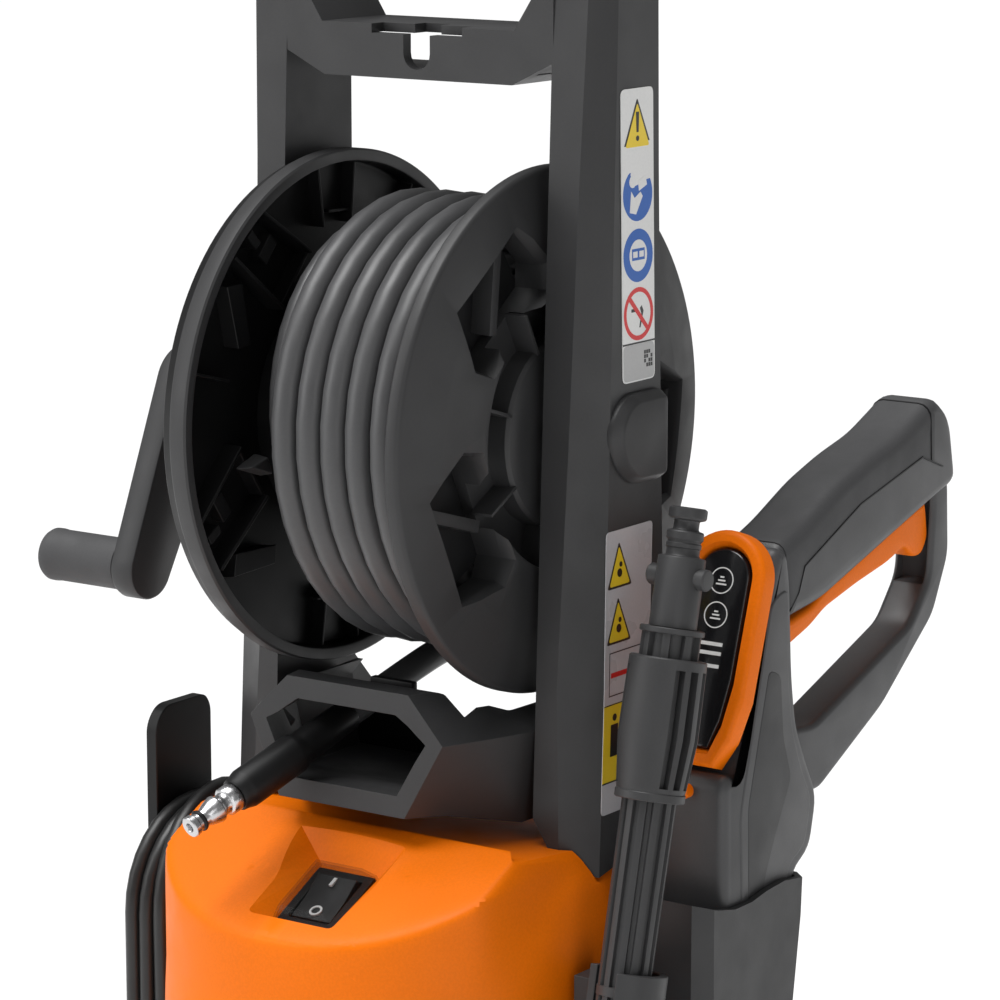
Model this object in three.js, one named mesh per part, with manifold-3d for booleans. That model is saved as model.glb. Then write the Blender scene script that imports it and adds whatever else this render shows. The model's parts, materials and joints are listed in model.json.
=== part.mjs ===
// Upright electric pressure washer with a hose reel, a trigger gun and a lance.
// Millimetres, +Z up, +X to the machine's right seen from the front, +Y towards its back.
// Every coordinate below is measured from the centre of the hose reel; the last lines stand
// the whole machine on the ground with its origin under the middle of its footprint.

import * as THREE from 'three';
import { mergeVertices } from 'three/addons/utils/BufferGeometryUtils.js';
import Module from 'manifold-3d';

const wasm = await Module();
wasm.setup();

// Driving dimensions
const REEL_HEIGHT = 660;             // reel axle above the ground
const FOOTPRINT_SHIFT = [21.1, -36.5]; // from the reel's centre line to the footprint's middle
const GAP = 0.3;                     // between faces that touch
const POST_CLEARANCE = 0.6;          // round the posts where they sink into the hood

const FLANGE_R = 115;
const AXLE_R = 6;
const AXLE_HOLE_R = AXLE_R + GAP;
const DRUM_R = 53;
const HOSE_R = 6.25;
const WOUND_R = 100.6;               // outside of the wound hose
const FREE_TURN_R = WOUND_R + HOSE_R + GAP;
const OPENING_ANGLES = [-10, 126, 205.5];   // middles of the right flange's three openings, degrees

const POST_INNER = 70.4;
const POST_REAR = 26;
const TUBE_X = 81.9;
const TUBE_Y = 14.2;
const TUBE_R = 7.7;

const HOOD_BACK = 28;
const HOOD_BOTTOM = -560;
const WALL = 3;
const SWITCH_CENTRE = [9, -100, -197];
const SWITCH_SLOPE = THREE.MathUtils.degToRad(27);

const WHEEL_R = 85;
const WHEEL_X = 124;
const WHEEL_Y = 90;
const WHEEL_Z = WHEEL_R - REEL_HEIGHT;

const HOOK_Y = -21;
const HOOK_TOP = -233;
const HOOK_LOW = -383;
const CORD_R = 4;
const HANK_X = [-133.8, -108.8];
const HANK_IN = 22.5;
const HANK_OUT = 48.3;

const GUN_X = 130;
const LANCE_TOP = [136, -14, -23];
const LANCE_LEAN = THREE.MathUtils.degToRad(-13.6);
const MOTOR_Y = -45;

// Materials
const paint = (color, roughness, metalness = 0) => () =>
  new THREE.MeshStandardMaterial({ color, roughness, metalness });
const darkPlastic = paint(0x3f4042, 0.5);
const blackPlastic = paint(0x1c1c1d, 0.45);
const orangePlastic = paint(0xf57c00, 0.4);
const rubber = paint(0x2a2a2b, 0.8);
const steel = paint(0xb9bcc0, 0.3, 1);
const aluminium = paint(0xa6a9ad, 0.35, 1);
const clearPlastic = paint(0x55504c, 0.2);
const castMetal = paint(0x8a8d90, 0.55, 0.8);

// Solids
function solid(geometry) {
  const bare = geometry.clone();
  bare.deleteAttribute('normal');
  bare.deleteAttribute('uv');
  const merged = mergeVertices(bare, 1e-4);
  const corners = merged.attributes.position;
  let triangles = [];
  for (let i = 0; i < merged.index.count; i += 3) {
    const [a, b, c] = [0, 1, 2].map((k) => merged.index.getX(i + k));
    if (a !== b && b !== c && c !== a) triangles.push([a, b, c]);
  }
  const at = (i) => new THREE.Vector3().fromBufferAttribute(corners, i);
  const volume = triangles.reduce((sum, [a, b, c]) => sum + at(a).dot(at(b).cross(at(c))), 0);
  if (volume < 0) triangles = triangles.map(([a, b, c]) => [a, c, b]);
  return new wasm.Manifold(new wasm.Mesh({
    numProp: 3,
    vertProperties: new Float32Array(corners.array),
    triVerts: new Uint32Array(triangles.flat()),
  }));
}

function moved(geometry, [x, y, z], rotateX = 0) {
  return geometry.rotateX(rotateX).translate(x, y, z);
}

function box([x0, x1], [y0, y1], [z0, z1], place = [0, 0, 0], rotateX = 0) {
  const geometry = new THREE.BoxGeometry(x1 - x0, y1 - y0, z1 - z0);
  geometry.translate((x0 + x1) / 2, (y0 + y1) / 2, (z0 + z1) / 2);
  return solid(moved(geometry, place, rotateX));
}

function extruded(outline, depth, holes = []) {
  const shape = new THREE.Shape(outline.map(([u, v]) => new THREE.Vector2(u, v)));
  for (const hole of holes) {
    shape.holes.push(new THREE.Path(hole.map(([u, v]) => new THREE.Vector2(u, v))));
  }
  return new THREE.ExtrudeGeometry(shape, { depth, bevelEnabled: false, curveSegments: 12 });
}

// An outline of (y, z) points run along X, of (x, z) points along Y, or of (x, y) points along Z
function prismX(outline, [x0, x1], holes = []) {
  const turn = new THREE.Matrix4().set(0, 0, 1, x0, 1, 0, 0, 0, 0, 1, 0, 0, 0, 0, 0, 1);
  return solid(extruded(outline, x1 - x0, holes).applyMatrix4(turn));
}
function prismY(outline, [y0, y1]) {
  const turn = new THREE.Matrix4().set(1, 0, 0, 0, 0, 0, -1, y1, 0, 1, 0, 0, 0, 0, 0, 1);
  return solid(extruded(outline, y1 - y0).applyMatrix4(turn));
}
function prismZ(outline, [z0, z1]) {
  return solid(extruded(outline, z1 - z0).translate(0, 0, z0));
}

// A closed or axis-to-axis profile of (radius, distance along the axis) turned round it
function turned(profile, segments, axis, place = [0, 0, 0], rotateX = 0) {
  const closed = profile[0][0] > 0;
  const corners = closed ? [...profile, profile[0]] : profile;
  const geometry = new THREE.LatheGeometry(corners.map(([r, h]) => new THREE.Vector2(r, h)), segments);
  const onX = new THREE.Matrix4().set(0, 1, 0, 0, 0, 0, 1, 0, 1, 0, 0, 0, 0, 0, 0, 1);
  if (axis === 'x') geometry.applyMatrix4(onX);
  if (axis === 'z') geometry.rotateX(Math.PI / 2);
  return solid(moved(geometry, place, rotateX));
}
function rod(radius, [from, to], segments, axis, place, rotateX = 0) {
  return turned([[0, from], [radius, from], [radius, to], [0, to]], segments, axis, place, rotateX);
}

// A skin over rings that all have the same number of corners, closed by flat ends
function loft(rings) {
  const count = rings[0].length;
  const positions = rings.flat(2);
  const index = [];
  for (let k = 0; k + 1 < rings.length; k += 1) {
    for (let i = 0; i < count; i += 1) {
      const [a, b] = [k * count + i, k * count + ((i + 1) % count)];
      index.push(a, b, b + count, a, b + count, a + count);
    }
  }
  const cap = (first, flip) => {
    for (let i = 1; i + 1 < count; i += 1) {
      index.push(...(flip ? [first, first + i + 1, first + i] : [first, first + i, first + i + 1]));
    }
  };
  cap(0, true);
  cap((rings.length - 1) * count, false);
  const geometry = new THREE.BufferGeometry();
  geometry.setAttribute('position', new THREE.Float32BufferAttribute(positions, 3));
  geometry.setIndex(index);
  return solid(geometry);
}

// A round tube along a smooth curve through hand-placed points
function tube(points, radius, sides, steps) {
  const ring = [];
  for (let i = 0; i < sides; i += 1) {
    const angle = (2 * Math.PI * i) / sides;
    ring.push(new THREE.Vector2(radius * Math.cos(angle), radius * Math.sin(angle)));
  }
  const through = points.map((p) => new THREE.Vector3(...p));
  const path = new THREE.CatmullRomCurve3(through, false, 'centripetal');
  const options = { steps, extrudePath: path, curveSegments: 1 };
  return solid(new THREE.ExtrudeGeometry(new THREE.Shape(ring), options));
}

// A finished solid, turned about X and then moved
function placed(manifold, place, rotateX) {
  return manifold.rotate(THREE.MathUtils.radToDeg(rotateX), 0, 0).translate(...place);
}

const mirrorX = (rings) => rings.map((ring) => ring.map(([x, y, z]) => [-x, y, z]));
const joined = (parts) => parts.reduce((sum, part) => sum.add(part));
const without = (part, cuts) => cuts.reduce((rest, cut) => rest.subtract(cut), part);

const machine = new THREE.Group();
function node(name, manifold, material) {
  const mesh = manifold.getMesh();
  const geometry = new THREE.BufferGeometry();
  geometry.setAttribute('position', new THREE.BufferAttribute(mesh.vertProperties, 3));
  geometry.setIndex(new THREE.BufferAttribute(mesh.triVerts, 1));
  const part = new THREE.Mesh(geometry, material());
  part.name = name;
  machine.add(part);
}

// Frame: two tapered posts, a crossbar with raised ends, and rear legs down to the base
function postRings(grow = 0) {
  const level = (z, front, frontOuter, sideFront, side) => [
    [POST_INNER - grow, front - grow, z], [frontOuter + grow / 2, front - grow, z],
    [side + grow, sideFront - grow, z], [side + grow, POST_REAR + grow, z],
    [POST_INNER - grow, POST_REAR + grow, z]];
  const foot = level(0, -34, 84, -25, 99);
  const footHeights = [-164, -185, -188, -178, -164];
  return [
    foot.map(([x, y], i) => [x, y, footHeights[i] - 4 * grow]),
    level(-107, -31.5, 81, -21, 98.5),
    level(0, -27.3, 84, -14, 96),
    level(114, -22.7, 86, -8, 94),
    level(204, -19.1, 88.5, -4, 93)];
}

function frame() {
  const crossbar = prismY([
    [-71, 204], [-66, 196], [-50.8, 173], [50.8, 173], [66, 196], [71, 204],
    [71, 160], [69.3, 159.3], [49.8, 149.9], [-49.8, 149.9], [-69.3, 159.3], [-71, 160]], [-20.6, POST_REAR]);
  const leg = [
    [10, -150], [10, -120], [POST_REAR, -120], [54, -150], [54, -556],
    [29.5, -556], [29.5, -160], [10, -160]];
  const parts = [crossbar];
  const cuts = [
    box([-60, 60], [-15, 30], [154, 169]),
    box([-7, 7], [-30, -4], [161, 180]),
    box([-24, 24], [-30, -12], [169, 180]),
    rod(7, [-30, -4], 20, 'y', [0, 0, 161]),
    rod(AXLE_HOLE_R, [-120, 0], 20, 'x', [0, 0, 0]),
    rod(AXLE_HOLE_R, [60, 74.5], 20, 'x', [0, 0, 0]),
    box([74.2, 91.5], [-13.5, 6.2], [-16, 12.6]),
    rod(5.6, [-200, -10], 16, 'z', [82, -8, 0])];
  for (const side of [-1, 1]) {
    parts.push(loft(side > 0 ? postRings() : mirrorX(postRings())));
    parts.push(prismX(leg, side > 0 ? [72, 97] : [-97, -72]));
    const [inner, outer] = [side * (TUBE_X - TUBE_R - GAP), side * (TUBE_X + TUBE_R + GAP)];
    const slot = [side * (TUBE_X - 4), side * (TUBE_X + 4)];
    const inOrder = (pair) => pair.sort((a, b) => a - b);
    cuts.push(box(inOrder([inner, outer]), [TUBE_Y - TUBE_R - GAP, TUBE_Y + TUBE_R + GAP], [-135, 210]));
    cuts.push(box(inOrder(slot), [TUBE_Y, POST_REAR + 5], [-135, 210]));
  }
  node('frame', without(joined(parts), cuts), darkPlastic);
}

// Tray between the posts that the hose runs out through, with a six-sided window in front
function hoseTray() {
  const ring = (y, lean, [topX, topZ], [sideX, sideZ], [lowX, lowZ]) =>
    [[-topX, topZ], [topX, topZ], [sideX, sideZ], [lowX, lowZ], [-lowX, lowZ], [-sideX, sideZ]]
      .map(([x, z]) => [x, y + lean * z, z]);
  const outer = loft([
    ring(-63.6, 0.09, [32.6, -106.8], [52, -126.3], [33.9, -160.2]),
    ring(-58, 0, [38, -108], [60, -126], [42, -162]),
    ring(-30, 0, [55, -119], [70, -126], [62, -168]),
    ring(14, 0, [60, -119.5], [70, -126], [64, -168])]);
  const inner = loft([
    ring(-72, 0.09, [25.5, -116.4], [40.5, -127], [27.5, -150.4]),
    ring(-58, 0, [28, -116], [48, -127], [33, -152]),
    ring(-30, 0, [50, -114], [63, -127], [54, -158]),
    ring(20, 0, [52, -114], [63, -127], [56, -158])]);
  const openTop = box([-50, 50], [-56, 20], [-135, -100]);
  node('hose_tray', without(outer, [inner, openTop]), darkPlastic);
}

// Hood, base and rear cover
const PLAN_POINTS = 17;
const PLAN_POWER = 2 / 2.3;
function plan(halfWidth, front, back, z, sideEnd = -20) {
  const ring = [[-halfWidth, back, z]];
  for (let i = 0; i < PLAN_POINTS; i += 1) {
    const angle = (Math.PI * i) / (PLAN_POINTS - 1);
    const across = -Math.sign(Math.cos(angle)) * Math.abs(Math.cos(angle)) ** PLAN_POWER;
    const forward = Math.abs(Math.sin(angle)) ** PLAN_POWER;
    ring.push([halfWidth * across, sideEnd + (front - sideEnd) * forward, z]);
  }
  ring.push([halfWidth, back, z]);
  return ring;
}

const HOOD_LEVELS = [
  [HOOD_BOTTOM, 104, -126], [-480, 106, -132], [-300, 106, -135], [-235, 105, -133], [-214, 104, -126],
  [-200, 101.5, -114], [-188, 98, -100], [-176, 89, -80], [-170, 80, -66]];

function hood() {
  const outer = loft(HOOD_LEVELS.map(([z, w, front]) => plan(w, front, HOOD_BACK, z)));
  const inner = loft(HOOD_LEVELS.map(([z, w, front], i) => {
    const height = i === 0 ? z - 5 : z - WALL;
    return plan(w - WALL, front + WALL, HOOD_BACK + 10, height);
  }));
  const well = box([-29, 28], [-33, 39], [-24, 60], SWITCH_CENTRE, SWITCH_SLOPE).intersect(outer);
  const shell = without(outer, [inner]).add(well);
  node('hood', without(shell, [
    box([-20, 19], [-22, 28], [0, 70], SWITCH_CENTRE, SWITCH_SLOPE),
    box([-13.7, 13.7], [-16.3, 16.3], [-40, 5], SWITCH_CENTRE, SWITCH_SLOPE),
    loft(postRings(POST_CLEARANCE)), loft(mirrorX(postRings(POST_CLEARANCE))),
    rod(8, [-230, -160], 16, 'z', [82, -8, 0])]), orangePlastic);
}

function rearCover() {
  const shell = without(box([-69.6, 69.6], [29.5, 66], [-556, -176]), [
    box([-66.6, 66.6], [20, 63], [-552, -180]),
    rod(11, [20, 80], 20, 'y', [0, 0, -520]),
    ...[0, 1, 2, 3, 4, 5].map((i) => box([-48, 48], [60, 70], [-250 - i * 14, -244 - i * 14]))]);
  node('rear_cover', shell, blackPlastic);
}

function baseChassis() {
  const levels = [[-628, 96, -116], [-600, 103, -124], [HOOD_BOTTOM - 1, 104, -126]];
  const outer = loft(levels.map(([z, w, front]) => plan(w, front, 57, z)));
  const inner = loft(levels.map(([z, w, front]) => plan(w - 5, front + 5, 52, z - 5)));
  const bracket = [[40, -606], [104, -606], [107, -562], [100, -550], [70, -550], [57, -561], [40, -561]];
  const parts = [without(outer, [inner])];
  for (const [x0, x1] of [[-100, -76], [76, 100]]) parts.push(prismX(bracket, [x0, x1]));
  for (const x of [-72, 72]) parts.push(rod(14, [-645.7, -566], 16, 'z', [x, -92, 0]));
  const axleHole = rod(6.4, [-120, 120], 20, 'x', [0, WHEEL_Y, WHEEL_Z]);
  node('base_chassis', without(joined(parts), [axleHole]), blackPlastic);
  const foot = [[0, -REEL_HEIGHT], [15, -REEL_HEIGHT], [16, -656], [16, -646], [0, -646]];
  for (const [name, x] of [['foot_left', -72], ['foot_right', 72]]) {
    node(name, turned(foot, 20, 'z', [x, -92, 0]), rubber);
  }
}

function wheels() {
  node('wheel_axle', rod(6, [-137, 137], 16, 'x', [0, WHEEL_Y, WHEEL_Z]), steel);
  for (const [side, sign] of [['left', -1], ['right', 1]]) {
    const profile = [[6.3, -14], [18, -14], [20, -5], [64, -5], [68, -15], [81, -16], [WHEEL_R, -11],
      [WHEEL_R, 11], [81, 16], [68, 15], [64, 5], [20, 5], [18, 14], [6.3, 14]];
    node(`wheel_${side}`, turned(profile, 24, 'x', [sign * WHEEL_X, WHEEL_Y, WHEEL_Z]), blackPlastic);
    const cap = [[0, 14.3], [17, 14.3], [16, 18], [10, 20], [0, 20.5]].map(([r, h]) => [r, sign * h]);
    node(`hubcap_${side}`, turned(cap, 20, 'x', [sign * WHEEL_X, WHEEL_Y, WHEEL_Z]), orangePlastic);
  }
}

// Telescopic handle
function handle() {
  for (const [name, x] of [['handle_tube_left', -TUBE_X], ['handle_tube_right', TUBE_X]]) {
    const wall = [[6.2, -130], [TUBE_R, -130], [TUBE_R, 236], [6.2, 236]];
    node(name, turned(wall, 16, 'z', [x, TUBE_Y, 0]), aluminium);
  }
  const sides = 12;
  const section = (x, ry, rz) => Array.from({ length: sides }, (_, i) => {
    const angle = (2 * Math.PI * (i + 0.5)) / sides;
    return [x, TUBE_Y + ry * Math.cos(angle), 250 + rz * Math.sin(angle)];
  });
  const flat = 1 / Math.cos(Math.PI / sides);
  const bar = loft([section(-97, 8, 8), section(-92, 13, 13.2), section(92, 13, 13.2), section(97, 8, 8)]
    .map((ring) => ring.map(([x, y, z]) => [x, TUBE_Y + (y - TUBE_Y) * flat, 250 + (z - 250) * flat])));
  node('handle_grip', without(bar, [box([-14.4, 14.4], [TUBE_Y - 6.4, TUBE_Y + 6.4], [254, 270])]), rubber);
  node('handle_button', box([-14, 14], [TUBE_Y - 6, TUBE_Y + 6], [259, 265]), orangePlastic);
}

// Reel: drum between two flanges on an axle, with a crank outside the left post
function reel() {
  const drum = [[49, -63.9], [DRUM_R, -63.9], [DRUM_R, 45.6], [49, 45.6]];
  node('reel_drum', turned(drum, 36, 'x'), blackPlastic);
  const left = turned([
    [AXLE_HOLE_R, -68], [AXLE_HOLE_R, -60], [30, -60], [34, -64.3], [110, -64.3], [110, -54], [113, -53.9],
    [FLANGE_R, -55], [FLANGE_R, -61], [112, -68]], 36, 'x');
  const rib = (angle) => box([-65, -56], [56, 111], [-1.2, 1.2], [0, 0, 0], THREE.MathUtils.degToRad(angle));
  const ribs = Array.from({ length: 10 }, (_, i) => rib(36 * i + 8));
  node('reel_flange_left', joined([left, ...ribs]), blackPlastic);
  const right = turned([
    [AXLE_HOLE_R, 42], [AXLE_HOLE_R, 64.2], [38, 64.2], [41.8, 62.4], [41.8, 52], [60, 52], [60, 65.6],
    [63, 65.6], [90, 63.4], [113.6, 58.2], [FLANGE_R, 56.4], [FLANGE_R, 51.6], [104, 50.5],
    [66, 46.2], [47, 46], [47, 42]], 48, 'x');
  const opening = [[64.5, -24], [75, -25.5], [97, -15], [97, 15], [75, 25.5], [64.5, 24]];
  const openings = OPENING_ANGLES.map((middle) => prismX(opening.map(([radius, degrees]) => {
    const angle = THREE.MathUtils.degToRad(middle + degrees);
    return [radius * Math.cos(angle), radius * Math.sin(angle)];
  }), [40, 70]));
  node('reel_flange_right', without(right, openings), darkPlastic);
  const axle = [[0, -131], [AXLE_R, -131], [AXLE_R, 74.4], [4.5, 74.4], [4.5, 90], [0, 90]];
  node('reel_axle', turned(axle, 20, 'x'), steel);
  node('reel_swivel', without(box([74.8, 90.8], [-13, 5.8], [-15.5, 12]), [
    rod(4.8, [70, 100], 16, 'x', [0, 0, 0])]), castMetal);
  node('reel_axle_cap', prismX([[-11, -12], [-11, 12], [-5, 19.5], [20, 18], [25.5, 15], [25.5, -17],
    [20, -20.5], [-5, -20.5]], [97.2, 102]), darkPlastic);
  node('hose_wound', turned([[DRUM_R + GAP, -41], [89, -41], [89, -30.5], [WOUND_R, -30.5], [WOUND_R, 45.2],
    [DRUM_R + GAP, 45.2]], 36, 'x'), rubber);
}

function crank() {
  const end = [-39, -78];
  const away = Math.atan2(end[1], end[0]);
  const arm = [];
  for (let i = 0; i <= 10; i += 1) {
    const angle = away + Math.PI / 2 + (Math.PI * i) / 10;
    arm.push([20 * Math.cos(angle), 20 * Math.sin(angle)]);
  }
  for (let i = 0; i <= 10; i += 1) {
    const angle = away - Math.PI / 2 + (Math.PI * i) / 10;
    arm.push([end[0] + 14.5 * Math.cos(angle), end[1] + 14.5 * Math.sin(angle)]);
  }
  const boss = rod(16, [-140, -101.5], 24, 'x');
  const axleHole = rod(AXLE_HOLE_R, [-131.3, -90], 20, 'x');
  node('crank_arm', without(prismX(arm, [-150, -137]).add(boss), [axleHole]), darkPlastic);
  node('crank_pin', rod(4.2, [-186, -150.3], 16, 'x', [0, ...end]), steel);
  node('crank_screw', rod(6, [-152.5, -150.3], 12, 'x'), steel);
  const grip = rod(12.25, [-196, -151], 24, 'x', [0, ...end]);
  node('crank_grip', without(grip, [rod(4.6, [-187, -140], 16, 'x', [0, ...end])]), rubber);
}

// Free end of the high-pressure hose: off the winding, out through the window
const HOSE_EXIT_ANGLE = 70;
const HOSE_DIRECTION = new THREE.Vector3(-0.17, -0.92, -0.345).normalize();
const SLEEVE_START = new THREE.Vector3(-16.8, -49.5, -126.7);
function freeHose() {
  const points = [];
  for (let degrees = HOSE_EXIT_ANGLE; degrees >= 10; degrees -= 10) {
    const angle = THREE.MathUtils.degToRad(degrees);
    points.push([-5 - (HOSE_EXIT_ANGLE - degrees) / 20, FREE_TURN_R * Math.sin(angle),
      -FREE_TURN_R * Math.cos(angle)]);
  }
  points.push([-9.6, 0, -109.8], [-12.6, -22, -116.8], SLEEVE_START.toArray());
  node('hose_end', tube(points, HOSE_R, 10, 18), rubber);
}

function alongHose(profile, segments) {
  const closed = profile[0][0] > 0;
  const corners = closed ? [...profile, profile[0]] : profile;
  const geometry = new THREE.LatheGeometry(corners.map(([r, h]) => new THREE.Vector2(r, h)), segments);
  const turn = new THREE.Quaternion().setFromUnitVectors(new THREE.Vector3(0, 1, 0), HOSE_DIRECTION);
  return solid(geometry.applyQuaternion(turn).translate(...SLEEVE_START.toArray()));
}
function hoseFittings() {
  node('hose_sleeve', alongHose([[0, 0.4], [7.2, 0.4], [7.8, 32], [9, 36], [9, 66], [7.5, 71], [0, 71]], 20),
    rubber);
  node('hose_nipple', alongHose([[0, 71.3], [6.5, 71.3], [6.5, 77], [5, 77.5], [5, 81], [6.2, 82], [5.4, 86],
    [4, 90], [4, 95], [4.8, 95.5], [4.8, 98], [2, 98], [2, 80], [0, 80]], 14), steel);
}

// Switch on the sloped front of the hood
function mainSwitch() {
  const place = [SWITCH_CENTRE, SWITCH_SLOPE];
  const bezel = joined([
    box([-15.2, 15.2], [-17.8, 17.8], [0.3, 3.3], ...place),
    box([-13.4, 13.4], [-16, 16], [-14, 1], ...place)]);
  const rockerRoom = box([-10.9, 10.9], [-13.6, 13.6], [-11, 10], ...place);
  node('switch_bezel', without(bezel, [rockerRoom]), blackPlastic);
  const rocker = prismX([[-12, -2], [-12, 2.2], [0, 3.4], [11.8, 6.3], [12.7, 2.5], [3, -6], [-3, -6]],
    [-10.5, 10.5]);
  node('switch_rocker', placed(rocker, ...place), blackPlastic);
  const cap = (half, height, length) => [
    [-half, -length, height], [half, -length, height], [half, length, height], [-half, length, height]];
  const outside = loft([cap(15.9, 0.3, 18.5), cap(15.9, 4, 18.5), cap(12.5, 10.4, 15.1)]);
  const inside = loft([cap(15.3, -2, 17.9), cap(15.3, 3.6, 17.9), cap(11.8, 9.6, 14.4)]);
  node('switch_cover', placed(outside.subtract(inside), ...place), clearPlastic);
}

// Power cord: gland at the back, a run to the hank on the two side hooks, the plug beside it
const CORD_RUN = [
  [-45, 92.6, -470], [-45, 100, -470.3], [-47, 114, -472], [-62, 129, -475], [-78, 130, -475.5],
  [-94, 120, -473], [-107, 103, -467], [-116, 82, -459], [-120.5, 60, -450.5], [-121.3, 38, -443],
  [-121.3, 16, -438.5], [-121.3, -6, -436.5], [-121.3, -20, -436]];
const CORD_TAIL = [[-121.3, 32, -242], [-121.3, 34, -254], [-121.3, 39, -268], [-121.3, 45, -282],
  [-121.3, 48, -296], [-121.3, 48.5, -306]];
function stadium(radius, segments) {
  const outline = [];
  for (const [z, start] of [[HOOK_TOP, 0], [HOOK_LOW, Math.PI]]) {
    for (let i = 0; i <= segments; i += 1) {
      const angle = start + (Math.PI * i) / segments;
      outline.push([HOOK_Y + radius * Math.cos(angle), z + radius * Math.sin(angle)]);
    }
  }
  return outline;
}
function powerCord() {
  node('cord_gland', turned([[0, 66.4], [9, 66.4], [9, 70], [7, 72], [5, 92], [0, 92]], 16, 'y',
    [-45, 0, -470]), rubber);
  node('cord_run', tube(CORD_RUN, CORD_R, 8, 24), rubber);
  node('cord_hank', prismX(stadium(HANK_OUT, 14), HANK_X, [stadium(HANK_IN, 14)]), rubber);
  node('cord_tail', tube(CORD_TAIL, CORD_R, 8, 8), rubber);
  const pins = [-9.5, 9.5].map((dx) => rod(2.4, [-388, -366], 8, 'z', [dx - 121.3, 48.5, 0]));
  const body = turned([[0, -368], [18.5, -368], [18.5, -348], [11, -334], [6, -307], [0, -306.4]], 18, 'z',
    [-121.3, 48.5, 0]);
  node('power_plug', joined([body, ...pins]), rubber);
}

function cordHooks() {
  const arm = (z) => rod(21.6, [-135.5, -107.4], 20, 'x', [0, HOOK_Y, z]);
  const paddle = (z, sign) => prismX([[HOOK_Y - 20, z - sign * 22], [HOOK_Y + 20, z - sign * 22],
    [HOOK_Y + 20, z + sign * 84], [HOOK_Y + 16, z + sign * 90], [HOOK_Y - 13, z + sign * 90],
    [HOOK_Y - 20, z + sign * 82]], [-141, -134.6]);
  node('cord_hook_upper', joined([arm(HOOK_TOP), paddle(HOOK_TOP, 1)]), blackPlastic);
  node('cord_hook_lower', joined([arm(HOOK_LOW), paddle(HOOK_LOW, -1)]), blackPlastic);
}

// Trigger gun, upright in its holster, with the panel facing forwards
const RING_FOOT = [-4, -137];
const RING_TOP = [28, -40];
const RING_LEAN = -Math.atan2(RING_TOP[0] - RING_FOOT[0], RING_TOP[1] - RING_FOOT[1]);
const RING_LENGTH = Math.hypot(RING_TOP[0] - RING_FOOT[0], RING_TOP[1] - RING_FOOT[1]);
function ringOutline(halfWidth, inset) {
  const points = [];
  const top = RING_LENGTH - inset - halfWidth;
  for (let i = 0; i <= 10; i += 1) {
    const angle = (Math.PI * i) / 10;
    points.push([halfWidth * Math.cos(angle), top + halfWidth * Math.sin(angle)]);
  }
  points.push([-halfWidth, 30 + inset], [-halfWidth * 0.55, inset], [halfWidth * 0.55, inset],
    [halfWidth, 30 + inset]);
  return points;
}
const facing = (outline, span) => placed(prismY(outline, span), [GUN_X, ...RING_FOOT], RING_LEAN);
const across = (half) => [GUN_X - half, GUN_X + half];
const BARREL_HALF = 18.5;
const GRIP_HALF = 15;
const GRIP_TOP = [[46, -50], [60, -46], [71, -42], [98, -30], [124, -22], [151, -16], [173, -7], [184, -2],
  [199, -13]];
const SOFT_GRIP = [[60, -46], [71, -42], [98, -30], [124, -22], [151, -16], [168, -9], [180, -32],
  [170, -28], [114, -41], [66, -61], [60, -63]];
const TRIGGER = [[46, -101], [66, -99], [87, -93], [100, -87], [127, -81], [155, -76], [172, -71], [178, -77],
  [187, -78], [193, -70], [190, -52], [160, -60], [130, -69], [100, -78], [87, -84], [66, -88], [46, -88]];
const LOCK_Z = -149;

function gun() {
  const barrel = prismX([
    [-3, -205], [-4, -138], [28, -41], [46, -50], [51, -64], [54, -107], [58, -130], [68, -150],
    [77, -165], [71, -190], [56, -197], [50, -230], [42, -300], [4, -300], [0, -260]], across(BARREL_HALF));
  const grip = prismX([...GRIP_TOP, [206, -45], [190, -49], [84, -80], [50, -84]], across(GRIP_HALF));
  const guard = prismX([
    [192, -14], [199, -13], [206, -45], [208, -80], [194, -107], [148, -141], [90, -169], [66, -160],
    [56, -128], [62, -138], [86, -137], [172, -107], [189, -88], [196, -52]], across(10));
  const muzzle = rod(13, [-365, -295], 20, 'z', [GUN_X, 22, 0]);
  const core = (rise) => prismX([
    [50, -56 + rise], [60, -52 + rise], [98, -36 + rise], [124, -28 + rise], [151, -22 + rise],
    [172, -14 + rise], [190, -40], [170, -40], [98, -62], [50, -80]], across(10.5 + rise));
  const softGripRoom = prismX(SOFT_GRIP, across(GRIP_HALF + 1)).subtract(core(0));
  const triggerRoom = prismX([
    [44.5, -104], [44.5, -85], [66, -84.5], [85, -80.5], [98, -72], [128, -59.5], [190, -38],
    [194.5, -40], [194.5, -90], [120, -100]], across(7.6));
  node('gun_body', without(joined([barrel, grip, guard, muzzle]), [
    facing(ringOutline(21.5, -0.5), [-5, 11.3]), softGripRoom, triggerRoom,
    rod(3.4, [-20, 8], 16, 'y', [GUN_X, 0, LOCK_Z])]), darkPlastic);
  const withinRoom = prismX([[60.3, -70], [60.3, 5], [176, 5], [176, -70]], across(GRIP_HALF + 5));
  const softGrip = prismX(SOFT_GRIP, across(GRIP_HALF + 0.7)).subtract(core(GAP)).intersect(withinRoom);
  node('gun_soft_grip', softGrip, rubber);
  const panelRoom = facing(ringOutline(13.5, 7.5), [-5, 9.8]);
  node('gun_ring', without(facing(ringOutline(21, 0), [0, 11]), [panelRoom]), orangePlastic);
  node('gun_panel', facing(ringOutline(13.1, 7.9), [1.5, 9.5]), blackPlastic);
  node('gun_trigger', prismX(TRIGGER, across(6.8)), orangePlastic);
  node('gun_lock', rod(3, [-9, 3.4], 16, 'y', [GUN_X, 0, LOCK_Z]), orangePlastic);
}

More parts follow.
